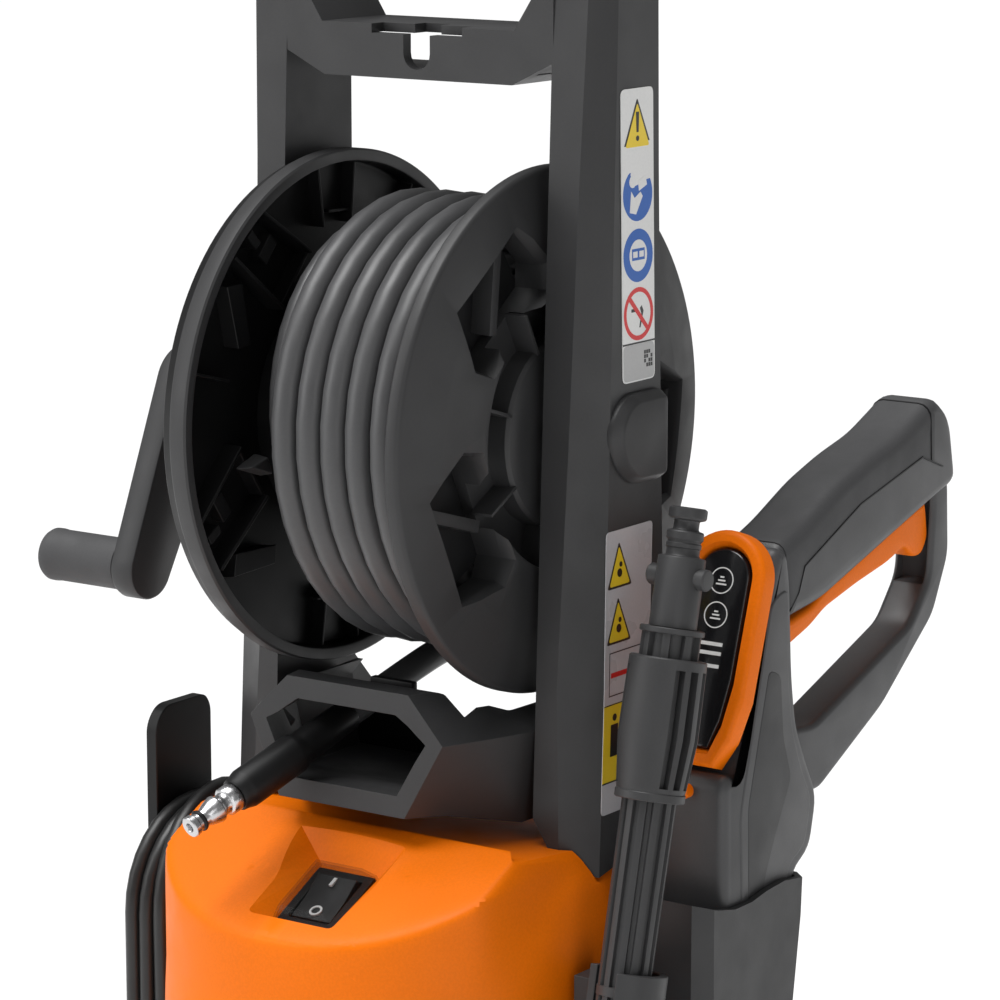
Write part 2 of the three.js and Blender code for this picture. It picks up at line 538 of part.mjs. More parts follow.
function holster() {
  const rim = (x0, x1, y0, y1, z, c) => [
    [x0 + c, y0, z], [x1 - c, y0, z], [x1, y0 + c, z], [x1, y1 - c, z],
    [x1 - c, y1, z], [x0 + c, y1, z], [x0, y1 - c, z], [x0, y0 + c, z]];
  const outer = loft([
    rim(109, 150, -20, 42, -404, 7), rim(108, 152, -22, 50, -300, 7),
    rim(107.5, 152.5, -24, 62, -215, 7), rim(107.5, 152.5, -24, 64, -180, 7)]);
  const inner = loft([
    rim(112, 147, -17, 39, -400, 5), rim(110.9, 149.1, -19, 47, -300, 5),
    rim(110.5, 149.5, -21, 59, -215, 5), rim(110.5, 149.5, -21, 61, -179, 5)]);
  const aboveRim = prismX([
    [-40, -190], [-26, -192], [-14, -196], [0, -199], [14, -199], [26, -197], [41, -196], [56, -198],
    [90, -200], [90, -150], [-40, -150]], [90, 180]);
  node('gun_holster', without(outer, [inner, aboveRim]), darkPlastic);
}

// Lance, leaning forwards as it goes down; local z runs up along it from its top end
const onLance = [LANCE_TOP, LANCE_LEAN];
function lance() {
  const adapter = turned([
    [0, 0], [7.6, 0], [8.2, -2], [8.2, -5], [5.4, -6], [5.4, -9], [7.8, -10], [7.8, -14], [7.2, -15],
    [7.2, -24], [10.2, -26], [10.2, -50.7], [0, -50.7]], 16, 'z', ...onLance);
  const pegs = rod(4.6, [-14.5, 14.5], 14, 'x', ...offsetOnLance([0, 0, -34]));
  node('lance_adapter', joined([adapter, pegs]), darkPlastic);
  const grip = turned([
    [0, -51], [13.8, -51], [13.8, -53.5], [11.6, -54], [11.6, -63.5], [16.5, -64], [17, -97],
    [14.6, -120], [14.6, -124], [11.5, -125], [10.2, -398], [0, -398]], 24, 'z', ...onLance);
  node('lance_body', grip, darkPlastic);
  node('lance_nozzle', turned([[0, -398.4], [10.8, -398.4], [10.8, -414], [8.2, -424], [3, -424], [3, -416],
    [0, -416]], 16, 'z', ...onLance), blackPlastic);
}
function offsetOnLance([x, y, z]) {
  const [c, s] = [Math.cos(LANCE_LEAN), Math.sin(LANCE_LEAN)];
  return [[LANCE_TOP[0] + x, LANCE_TOP[1] + y * c - z * s, LANCE_TOP[2] + y * s + z * c], LANCE_LEAN];
}

function lanceHolders() {
  const cOutline = [];
  for (let i = 0; i <= 12; i += 1) {
    const angle = THREE.MathUtils.degToRad(-70 + (250 * i) / 12);
    cOutline.push([18 * Math.cos(angle), 18 * Math.sin(angle)]);
  }
  for (let i = 12; i >= 0; i -= 1) {
    const angle = THREE.MathUtils.degToRad(-70 + (250 * i) / 12);
    cOutline.push([14.2 * Math.cos(angle), 14.2 * Math.sin(angle)]);
  }
  const ring = placed(prismZ(cOutline, [-262, -196]), ...onLance);
  const clipArm = without(box([106.8, 130], [-56, -36], [-262, -222]), [
    rod(15, [-300, -150], 24, 'z', ...onLance)]);
  node('lance_clip', joined([ring, clipArm]), darkPlastic);
  const shelf = prismZ([
    [107, -15], [104.5, -52], [117, -112], [136, -130], [152.5, -112], [142, -60], [114, -15]], [-437, -431]);
  const cup = turned([[14.5, -426], [17.8, -426], [17.8, -406], [14.5, -406]], 16, 'z', ...onLance);
  const cupRoom = rod(14.6, [-424.5, -395], 16, 'z', ...onLance);
  node('lance_cup', without(joined([shelf, cup]), [cupRoom]), darkPlastic);
}

// Inside the hood: motor, fan, wobble plate, pump and its pipes
function insides() {
  const centre = [0, MOTOR_Y, 0];
  const can = [[7, -450], [46, -450], [52, -440], [52, -285], [44, -270], [7, -270]];
  node('motor', turned(can, 28, 'z', centre), castMetal);
  node('motor_shaft', rod(6, [-478, -240], 16, 'z', centre), steel);
  const fan = [[6.05, -258], [46, -258], [46, -252], [14, -250], [14, -242], [6.05, -242]];
  node('motor_fan', turned(fan, 24, 'z', centre), blackPlastic);
  const plate = [[6.05, -474], [34, -470], [34, -462], [6.05, -458]];
  node('wobble_plate', turned(plate, 24, 'z', centre), steel);
  node('pump_head', without(box([-40, 40], [-88, -2], [-552, -486]), [
    box([-60, -30], [-100, -75], [-560, -480]),
    box([30, 60], [-100, -75], [-560, -480])]), castMetal);
  node('motor_capacitor', rod(17, [-400, -330], 20, 'z', [74, -66, 0]), blackPlastic);
  node('water_inlet', turned([
    [0, -1.6], [9.5, -1.6], [9.5, 66.6], [13.5, 68], [13.5, 92], [7, 92], [7, 72], [0, 72]], 20, 'y',
  [0, 0, -520]), blackPlastic);
  node('feed_pipe', tube([
    [40.4, -40, -520], [52, -39, -520], [66, -35, -513], [76, -27, -496], [81, -16, -470],
    [82, -8, -430], [82, -8, -330], [82, -8, -220], [82, -8, -120], [82, -8, -16]], 4.8, 8, 24), steel);
}

frame();
hoseTray();
hood();
rearCover();
baseChassis();
wheels();
handle();
reel();
crank();
freeHose();
hoseFittings();
mainSwitch();
powerCord();
cordHooks();
gun();
holster();
lance();
lanceHolders();
insides();

machine.position.set(...FOOTPRINT_SHIFT, REEL_HEIGHT);
const pressureWasher = new THREE.Group();
pressureWasher.add(machine);

export default pressureWasher;
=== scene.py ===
import bpy
import bmesh
import json
from math import atan2, cos, pi, radians, sin
from mathutils import Matrix, Vector


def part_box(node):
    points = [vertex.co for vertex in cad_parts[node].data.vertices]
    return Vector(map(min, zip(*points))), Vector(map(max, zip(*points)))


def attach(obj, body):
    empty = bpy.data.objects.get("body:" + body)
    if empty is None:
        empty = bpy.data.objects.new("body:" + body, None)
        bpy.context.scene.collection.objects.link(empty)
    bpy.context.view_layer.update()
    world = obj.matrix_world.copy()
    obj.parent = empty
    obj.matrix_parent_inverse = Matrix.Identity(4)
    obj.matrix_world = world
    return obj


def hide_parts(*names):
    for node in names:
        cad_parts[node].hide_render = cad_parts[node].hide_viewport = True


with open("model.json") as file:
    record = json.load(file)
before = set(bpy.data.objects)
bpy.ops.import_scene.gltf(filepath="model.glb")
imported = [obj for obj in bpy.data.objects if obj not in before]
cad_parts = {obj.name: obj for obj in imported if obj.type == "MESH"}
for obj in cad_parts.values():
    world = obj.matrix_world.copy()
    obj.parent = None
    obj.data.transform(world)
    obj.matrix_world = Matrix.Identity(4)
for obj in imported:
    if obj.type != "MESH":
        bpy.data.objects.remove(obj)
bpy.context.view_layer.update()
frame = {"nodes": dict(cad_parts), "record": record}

# Everything below is in millimetres from the reel's centre, +X to the gun side, +Y to the back.
MM = 0.001
AXLE_END = 90
hose_low, hose_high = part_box("hose_wound")
REEL = Vector((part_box("reel_axle")[1].x - AXLE_END * MM, (hose_low.y + hose_high.y) / 2,
               (hose_low.z + hose_high.z) / 2))
TO_ROW = Matrix.Translation(REEL) @ Matrix.Scale(MM, 4)


def row(x, y, z):
    return REEL + Vector((x, y, z)) * MM


def added(name, data):
    """A new object in the scene"""
    thing = bpy.data.objects.new(name, data)
    bpy.context.scene.collection.objects.link(thing)
    return thing


# ---- camera
AZIMUTH, ELEVATION, DISTANCE = radians(35.04), radians(10.95), 1750.4
cam_right = Vector((cos(AZIMUTH), sin(AZIMUTH), 0))
cam_back = Vector((sin(AZIMUTH) * cos(ELEVATION), -cos(AZIMUTH) * cos(ELEVATION), sin(ELEVATION)))
cam_up = cam_back.cross(cam_right)
camera_data = bpy.data.cameras.new("camera")
camera_data.sensor_width = 36
camera_data.lens = 143.0
camera_data.clip_end = 50
camera = added("camera", camera_data)
turn = Matrix((cam_right, cam_up, cam_back)).transposed().to_4x4()
place = REEL + (cam_back * DISTANCE + cam_right * 24.0 - cam_up * 36.5) * MM
camera.matrix_world = Matrix.Translation(place) @ turn
bpy.context.scene.camera = camera


# ---- materials
def tree(name):
    mat = bpy.data.materials.new(name)
    mat.use_nodes = True
    nodes, links = mat.node_tree.nodes, mat.node_tree.links
    shader = nodes["Principled BSDF"]
    return mat, nodes, links, shader


def noise_node(nodes, links, scale, detail=2.0, roughness=0.5, stretch=None):
    coords = nodes.new("ShaderNodeTexCoord")
    texture = nodes.new("ShaderNodeTexNoise")
    texture.inputs["Scale"].default_value = scale
    texture.inputs["Detail"].default_value = detail
    texture.inputs["Roughness"].default_value = roughness
    if stretch:
        mapping = nodes.new("ShaderNodeMapping")
        mapping.inputs["Scale"].default_value = stretch
        links.new(coords.outputs["Object"], mapping.inputs["Vector"])
        links.new(mapping.outputs["Vector"], texture.inputs["Vector"])
    else:
        links.new(coords.outputs["Object"], texture.inputs["Vector"])
    return texture.outputs["Fac"]


def ramp(nodes, links, source, stops):
    node = nodes.new("ShaderNodeValToRGB")
    elements = node.color_ramp.elements
    while len(elements) < len(stops):
        elements.new(0.5)
    for element, (at, color) in zip(elements, stops):
        element.position = at
        element.color = (*color, 1) if len(color) == 3 else color
    links.new(source, node.inputs["Fac"])
    return node.outputs["Color"]


def mix(nodes, links, factor, a, b):
    node = nodes.new("ShaderNodeMix")
    node.data_type = "RGBA"
    if isinstance(factor, float):
        node.inputs["Factor"].default_value = factor
    else:
        links.new(factor, node.inputs["Factor"])
    for socket, value in ((node.inputs["A"], a), (node.inputs["B"], b)):
        if isinstance(value, tuple):
            socket.default_value = (*value, 1)
        else:
            links.new(value, socket)
    return node.outputs["Result"]


def shade(color, factor):
    return tuple(min(1.0, c * factor) for c in color)


def plastic(name, color, rough=(0.42, 0.55), grain=1500, bump=0.12, edge=1.5, specular=0.5):
    """Moulded plastic: cloudy colour, fine grain, and sharp edges painted a little lighter as a painted
    highlight
    """
    mat, nodes, links, shader = tree(name)
    clouds = noise_node(nodes, links, 14, 3)
    speckle = noise_node(nodes, links, 900, 2)
    base = ramp(nodes, links, clouds, [(0.3, shade(color, 0.93)), (0.7, shade(color, 1.07))])
    fine = ramp(nodes, links, speckle, [(0.35, shade(color, 0.94)), (0.65, shade(color, 1.06))])
    half = mix(nodes, links, 0.5, base, fine)
    geometry = nodes.new("ShaderNodeNewGeometry")
    # Painted highlight: points on sharp edges get a lighter base colour, scaled by edge.
    edge_highlight_mask = ramp(nodes, links, geometry.outputs["Pointiness"], [(0.53, (0, 0, 0)), (0.62, (0.55, 0.55, 0.55))])
    links.new(mix(nodes, links, edge_highlight_mask, half, shade(color, edge)), shader.inputs["Base Color"])
    roughened(nodes, links, shader, noise_node(nodes, links, 55, 3), rough)
    bumped(nodes, links, shader, noise_node(nodes, links, grain, 3, 0.6), bump, 0.0003)
    shader.inputs["Specular IOR Level"].default_value = specular
    return mat


def roughened(nodes, links, shader, source, rough):
    links.new(ramp(nodes, links, source, [(0.3, (rough[0],) * 3), (0.7, (rough[1],) * 3)]),
              shader.inputs["Roughness"])


def bumped(nodes, links, shader, source, strength, distance):
    height = nodes.new("ShaderNodeBump")
    height.inputs["Strength"].default_value = strength
    height.inputs["Distance"].default_value = distance
    links.new(source, height.inputs["Height"])
    links.new(height.outputs["Normal"], shader.inputs["Normal"])


def metal(name, color, rough=(0.2, 0.35), stretch=(1, 1, 1), scale=400, bump=0.05):
    """Turned or drawn metal: fine lines along one direction and slight stains"""
    mat, nodes, links, shader = tree(name)
    lines = noise_node(nodes, links, scale, 3, 0.6, stretch)
    stains = noise_node(nodes, links, 40, 4)
    base = ramp(nodes, links, stains, [(0.35, shade(color, 0.86)), (0.65, shade(color, 1.05))])
    links.new(base, shader.inputs["Base Color"])
    roughened(nodes, links, shader, lines, rough)
    bumped(nodes, links, shader, lines, bump, 0.0002)
    shader.inputs["Metallic"].default_value = 1.0
    return mat


# The edge factor of each material sets how much lighter its sharp edges are painted, as a painted highlight.
DARK = plastic("dark_grey_plastic", (0.031, 0.031, 0.032), (0.42, 0.54), specular=0.42)
GUN_GREY = plastic("gun_grey_plastic", (0.056, 0.056, 0.058), (0.38, 0.50))
LANCE_GREY = plastic("lance_grey_plastic", (0.036, 0.036, 0.037), (0.42, 0.54), specular=0.42)
BLACK = plastic("black_plastic", (0.0045, 0.0045, 0.0048), (0.38, 0.5), edge=3.0, specular=0.28)
GLOSS_BLACK = plastic("gloss_black_plastic", (0.008, 0.008, 0.009), (0.12, 0.2), bump=0.03, edge=2.0)
ORANGE = plastic("orange_plastic", (0.84, 0.165, 0.0), (0.42, 0.54), bump=0.08, edge=1.1, specular=0.16)
RUBBER = plastic("soft_rubber", (0.052, 0.052, 0.054), (0.6, 0.75), grain=2400, bump=0.2, edge=1.3)
HOSE = plastic("hose_rubber", (0.066, 0.066, 0.068), (0.38, 0.47), grain=700, bump=0.07, edge=1.1)
CORD = plastic("cord_sheath", (0.011, 0.011, 0.011), (0.36, 0.46), grain=900, bump=0.06, edge=1.2)
STEEL = metal("bright_steel", (0.62, 0.62, 0.63))
ALUMINIUM = metal("anodised_aluminium", (0.55, 0.56, 0.58), (0.26, 0.38), (1, 1, 0.04), 900)
CAST = metal("cast_metal", (0.34, 0.35, 0.37), (0.5, 0.62), scale=700, bump=0.3)


def printed(name, color, rough=(0.3, 0.4)):
    return plastic(name, color, rough, bump=0.02, edge=1.0)


PRINT_WHITE = printed("white_print", (0.72, 0.72, 0.71))
PRINT_GREY = printed("grey_print", (0.42, 0.42, 0.42))
PRINT_SILVER = printed("silver_print", (0.50, 0.50, 0.52), (0.24, 0.34))
PRINT_YELLOW = printed("yellow_print", (0.80, 0.58, 0.02))
PRINT_BLACK = printed("black_print", (0.006, 0.006, 0.006))
PRINT_BLUE = printed("blue_print", (0.006, 0.10, 0.42))
PRINT_RED = printed("red_print", (0.62, 0.012, 0.014))


def clear_plastic():
    mat, nodes, links, shader = tree("smoky_clear_cover")
    haze = noise_node(nodes, links, 120, 3)
    links.new(ramp(nodes, links, haze, [(0.3, (0.012, 0.012, 0.012)), (0.7, (0.018, 0.018, 0.018))]),
              shader.inputs["Base Color"])
    roughened(nodes, links, shader, haze, (0.10, 0.18))
    shader.inputs["Alpha"].default_value = 0.16
    shader.inputs["IOR"].default_value = 1.45
    return mat


CLEAR = clear_plastic()


# ---- mesh helpers
stood_for = set()


def mesh_from(points, faces):
    mesh = bpy.data.meshes.new("part")
    mesh.from_pydata([tuple(p) for p in points], [], [tuple(f) for f in faces])
    bm = bmesh.new()
    bm.from_mesh(mesh)
    bmesh.ops.remove_doubles(bm, verts=bm.verts, dist=1e-4)
    bmesh.ops.recalc_face_normals(bm, faces=bm.faces)
    bm.to_mesh(mesh)
    bm.free()
    return mesh


def loft(rings, caps=True):
    count = len(rings[0])
    faces = []
    for k in range(len(rings) - 1):
        for i in range(count):
            a, b = k * count + i, k * count + (i + 1) % count
            faces.append((a, b, b + count, a + count))
    if caps:
        faces.append(tuple(reversed(range(count))))
        faces.append(tuple(range((len(rings) - 1) * count, len(rings) * count)))
    return mesh_from([p for ring in rings for p in ring], faces)


def prism(axis, outline, span):
    """An outline of (y, z), (x, z) or (x, y) points run along X, Y or Z"""
    def corner(u, v, w):
        return {"x": (w, u, v), "y": (u, w, v), "z": (u, v, w)}[axis]
    return loft([[corner(u, v, w) for u, v in outline] for w in span])


def turned(profile, axis="z", place=(0, 0, 0), segments=64, direction=None):
    """(radius, distance) points turned round an axis; a profile that ends off the axis is a closed loop"""
    closed = profile[0][0] > 0
    points, faces = [], []
    count = len(profile)
    for i in range(segments):
        a = 2 * pi * i / segments
        points += [(r * cos(a), r * sin(a), h) for r, h in profile]
    for i in range(segments):
        j = (i + 1) % segments
        for k in range(count if closed else count - 1):
            m = (k + 1) % count
            quad = [i * count + k, j * count + k, j * count + m, i * count + m]
            if profile[k][0] == 0:
                quad = [i * count + k, j * count + m, i * count + m]
            if profile[m][0] == 0:
                quad = [i * count + k, j * count + k, i * count + m]
            if not (profile[k][0] == 0 and profile[m][0] == 0):
                faces.append(quad)
    mesh = mesh_from(points, faces)
    to_axis = {"z": Matrix.Identity(4),
               "x": Matrix(((0, 0, 1, 0), (1, 0, 0, 0), (0, 1, 0, 0), (0, 0, 0, 1))),
               "y": Matrix(((0, 1, 0, 0), (0, 0, 1, 0), (1, 0, 0, 0), (0, 0, 0, 1)))}[axis]
    if direction is not None:
        to_axis = Vector((0, 0, 1)).rotation_difference(direction).to_matrix().to_4x4()
    mesh.transform(Matrix.Translation(place) @ to_axis)
    return mesh


def block(x, y, z):
    return prism("z", [(x[0], y[0]), (x[1], y[0]), (x[1], y[1]), (x[0], y[1])], z)


def tilted(mesh, place, angle):
    mesh.transform(Matrix.Translation(place) @ Matrix.Rotation(angle, 4, "X"))
    return mesh


def rounded(mesh, width, angle=28, segments=2):
    """Bevels the sharp edges of a mesh and returns it"""
    bm = bmesh.new()
    bm.from_mesh(mesh)
    bmesh.ops.dissolve_limit(bm, angle_limit=radians(0.4), verts=bm.verts, edges=bm.edges)
    sharp = [e for e in bm.edges if len(e.link_faces) == 2 and e.calc_face_angle(0) > radians(angle)]
    bmesh.ops.bevel(bm, geom=sharp, offset=width, segments=segments, profile=0.5, affect="EDGES",
                    clamp_overlap=True)
    bm.to_mesh(mesh)
    bm.free()
    return mesh


def swollen(mesh, depth):
    """A mesh with every point moved outwards along its normal"""
    bm = bmesh.new()
    bm.from_mesh(mesh)
    bmesh.ops.remove_doubles(bm, verts=bm.verts, dist=1e-3)
    bm.normal_update()
    for vert, out in [(vert, vert.normal.copy()) for vert in bm.verts]:
        vert.co += out * depth
    bm.to_mesh(mesh)
    bm.free()
    return mesh


def combined(base, others, operation):
    """A boolean of solid meshes, solved exactly"""
    for mesh in others:
        host, tool = added("base", base), added("tool", mesh)
        modifier = host.modifiers.new("cut", "BOOLEAN")
        modifier.object = tool
        modifier.operation = operation
        modifier.solver = "EXACT"
        evaluated = host.evaluated_get(bpy.context.evaluated_depsgraph_get())
        base = bpy.data.meshes.new_from_object(evaluated)
        for item in (host, tool):
            bpy.data.objects.remove(item)
    return base


def joined(*meshes):
    """Several separate shells kept as one mesh"""
    bm = bmesh.new()
    for mesh in meshes:
        bm.from_mesh(mesh)
    result = bpy.data.meshes.new("part")
    bm.to_mesh(result)
    bm.free()
    return result


def registered(piece, body, replaced):
    """Puts a piece on its body, in place of the CAD nodes named"""
    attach(piece, body)
    if replaced:
        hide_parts(*replaced)
        stood_for.update(replaced)
    return piece


def show(name, mesh, body, material, replaced=(), smooth=32, bevel=0.0, bevel_angle=30):
    """Puts a finished mesh, still in millimetres, in place as a piece of the object"""
    mesh.transform(TO_ROW)
    mesh.materials.clear()
    mesh.materials.append(material)
    mesh.shade_smooth()
    mesh.set_sharp_from_angle(angle=radians(smooth))
    piece = added(name, mesh)
    if bevel:
        mesh.set_sharp_from_angle(angle=radians(180))
        edges = piece.modifiers.new("edges", "BEVEL")
        edges.width = bevel * MM
        edges.segments = 2
        edges.limit_method = "ANGLE"
        edges.angle_limit = radians(bevel_angle)
        edges.miter_outer = "MITER_ARC"
        normals = piece.modifiers.new("normals", "WEIGHTED_NORMAL")
        normals.keep_sharp = True
    return registered(piece, body, replaced)


def body_of(node):
    return next(b for b, names in frame["record"]["behaviour"]["bodies"].items() if node in names)


def slot_of(node):
    return next(s["material_slot"] for s in frame["record"]["subparts"] if s["node"] == node)


def refined(node, material, bevel=0.8, angle=28):
    """A CAD node shown again with its flat triangles merged and its edges rounded"""
    mesh = frame["nodes"][node].data.copy()
    mesh.transform(TO_ROW.inverted())
    bm = bmesh.new()
    bm.from_mesh(mesh)
    bmesh.ops.remove_doubles(bm, verts=bm.verts, dist=1e-3)
    bmesh.ops.dissolve_limit(bm, angle_limit=radians(0.6), verts=bm.verts, edges=bm.edges)
    bm.to_mesh(mesh)
    bm.free()
    return show(node + "_fine", mesh, body_of(node), material, [node], bevel=bevel,
                bevel_angle=angle)


def carried(node, material, smooth=32):
    """A CAD node shown as it is, with its material"""
    mesh = frame["nodes"][node].data
    mesh.materials.clear()
    mesh.materials.append(material)
    mesh.shade_smooth()
    mesh.set_sharp_from_angle(angle=radians(smooth))


def cable(name, points, diameter, material, body, replaced=()):
    """A round cord as one open curve through points in millimetres"""
    curve = bpy.data.curves.new(name, "CURVE")
    curve.dimensions = "3D"
    curve.bevel_depth = diameter * MM / 2
    curve.bevel_resolution = 4
    curve.use_fill_caps = True
    curve.resolution_u = 1
    spline = curve.splines.new("POLY")
    spline.points.add(len(points) - 1)
    for point, p in zip(spline.points, points):
        point.co = (*row(*p), 1)
    spline.use_smooth = True
    curve.materials.append(material)
    piece = added(name, curve)
    return registered(piece, body, replaced)


def smooth_path(points, steps):
    """A centripetal curve through the points, with that many steps between each two"""
    p = [Vector(q) for q in points]
    p = [p[0] * 2 - p[1], *p, p[-1] * 2 - p[-2]]
    out = []
    for i in range(1, len(p) - 2):
        t = [0.0]
        for k in range(3):
            t.append(t[-1] + max(1e-6, (p[i + k] - p[i + k - 1]).length) ** 0.5)
        for s in range(steps):
            u = t[1] + (t[2] - t[1]) * s / steps
            a1 = p[i - 1] * ((t[1] - u) / (t[1] - t[0])) + p[i] * ((u - t[0]) / (t[1] - t[0]))
            a2 = p[i] * ((t[2] - u) / (t[2] - t[1])) + p[i + 1] * ((u - t[1]) / (t[2] - t[1]))
            a3 = p[i + 1] * ((t[3] - u) / (t[3] - t[2])) + p[i + 2] * ((u - t[2]) / (t[3] - t[2]))
            b1 = a1 * ((t[2] - u) / (t[2] - t[0])) + a2 * ((u - t[0]) / (t[2] - t[0]))
            b2 = a2 * ((t[3] - u) / (t[3] - t[1])) + a3 * ((u - t[1]) / (t[3] - t[1]))
            out.append(b1 * ((t[2] - u) / (t[2] - t[1])) + b2 * ((u - t[1]) / (t[2] - t[1])))
    out.append(p[-2])
    return out


def ease(t):
    t = min(1.0, max(0.0, t))
    return t * t * (3 - 2 * t)


# ---- power cord
CORD_RUN = [
    (-45, 92.6, -470), (-45, 100, -470.3), (-47, 114, -472), (-62, 129, -475), (-78, 130, -475.5),
    (-94, 120, -473), (-107, 103, -467), (-116, 82, -459), (-120.5, 60, -450.5), (-121.3, 38, -443),
    (-121.3, 16, -438.5), (-121.3, -6, -436.5), (-121.3, -20, -436)]
CORD_TAIL = [
    (-121.3, 32, -242), (-121.3, 34, -254), (-121.3, 39, -268), (-121.3, 45, -282), (-121.3, 48, -296),
    (-121.3, 48.5, -306)]
HOOK_Y, HOOK_TOP, HOOK_LOW = -21, -233, -383
INNER, MIDDLE, OUTER = 26.7, 35.3, 43.9
NEAR, MID, FAR = -113.0, -121.3, -129.6
CELLS = [(FAR, OUTER), (MID, OUTER), (MID, MIDDLE), (FAR, MIDDLE), (FAR, INNER), (MID, INNER), (NEAR, INNER),
         (NEAR, MIDDLE), (NEAR, OUTER)]
OUTSIDE = (MID, 53.0)


def hank_point(x, radius, travel):
    """A point on the loop round both hooks; travel runs 0..1 up the front, 1..2 over the top,
    2..3 down the back and 3..4 under the lower hook"""
    part, t = int(travel % 4), travel % 1
    if part == 0:
        return (x, HOOK_Y - radius, HOOK_LOW + (HOOK_TOP - HOOK_LOW) * t)
    if part == 2:
        return (x, HOOK_Y + radius, HOOK_TOP + (HOOK_LOW - HOOK_TOP) * t)
    angle = pi * t
    if part == 1:
        return (x, HOOK_Y - radius * cos(angle), HOOK_TOP + radius * sin(angle))
    return (x, HOOK_Y + radius * cos(angle), HOOK_LOW - radius * sin(angle))


def between(a, b, t):
    return tuple(p + (q - p) * ease(t) for p, q in zip(a, b))


def power_cord_route():
    route = [tuple(p) for p in smooth_path(CORD_RUN, 4)]

    def stretch(part, start, cell_at, count=16):
        for i in range(count):
            t = start + (1 - start) * i / count
            route.append(hank_point(*cell_at(t), part + t))

    stretch(3, 0.53, lambda t: between(OUTSIDE, CELLS[0], (t - 0.5) / 0.5), 8)
    for k, cell in enumerate(CELLS):
        stretch(0, 0, lambda t: (cell[0], cell[1] + 0.4 * sin(pi * t) * sin(2.1 * k)))
        if k + 1 == len(CELLS):
            stretch(1, 0, lambda t: between(cell, OUTSIDE, 1.2 * t))
            break
        following = CELLS[k + 1]
        stretch(1, 0, lambda t: cell)
        stretch(2, 0, lambda t: between(cell, following, (t - 0.1) / 0.75))
        stretch(3, 0, lambda t: following)
    return route + [tuple(p) for p in smooth_path(CORD_TAIL, 3)]


cord_route = power_cord_route()
power_cord = cable("power_cord", cord_route, 8, CORD, "machine",
                   ["cord_run", "cord_hank", "cord_tail"])

# ---- high-pressure hose
HOSE_D = 12.5
FREE_TURN_R = 107.15
LAYERS = (59.8, 71.1, 82.4, 93.7)
HOSE_DIRECTION = Vector((-0.17, -0.92, -0.345)).normalized()
SLEEVE_START = Vector((-16.8, -49.5, -126.7))


FREE_START = 70          # degrees round the reel, from straight down towards the back
LEAD = 50                # degrees over which the last turn climbs onto the winding


def on_reel(x, radius, degrees_round):
    a = radians(degrees_round)
    return (x, radius * sin(a), -radius * cos(a))


def wound_route():
    low, high, pitch = -34.4, 38.6, 13.0
    laps = [5.6, 5.6, 5.6, 4.6]
    around = FREE_START + LEAD + 360 * sum(laps)
    route = []
    for layer, (radius, turns) in enumerate(zip(LAYERS, laps)):
        start, stop = (low, high) if layer % 2 == 0 else (high, low)
        if layer == 3:
            stop = high - turns * pitch
        count = int(turns * 40)
        for i in range(count):
            t = i / count
            climb = (LAYERS[layer + 1] - radius) * ease((t - 0.94) / 0.06) if layer < 3 else 0
            route.append(on_reel(start + (stop - start) * t, radius + climb, around - 360 * turns * t))
        around -= 360 * turns
    for i in range(24):
        t = i / 23
        route.append(on_reel(stop + (-5 - stop) * ease(t), LAYERS[-1] + (FREE_TURN_R - LAYERS[-1]) * ease(t),
                             around - LEAD * t))
    return route


wound = wound_route()
wound_hose = cable("wound_hose", wound, HOSE_D, HOSE, "reel", ["hose_wound"])

free_points = [(-5 - (70 - d) / 20, FREE_TURN_R * sin(radians(d)), -FREE_TURN_R * cos(radians(d)))
               for d in range(70, 9, -10)]
free_points += [(-9.6, 0, -109.8), (-12.6, -22, -116.8), SLEEVE_START]
free_hose = cable("free_hose", smooth_path(free_points, 5), HOSE_D, HOSE, "machine",
                  ["hose_end"])

# ---- reel
def polar(radius, angle):
    return (radius * cos(radians(angle)), radius * sin(radians(angle)))


OPENINGS = (-10, 126, 205.5)


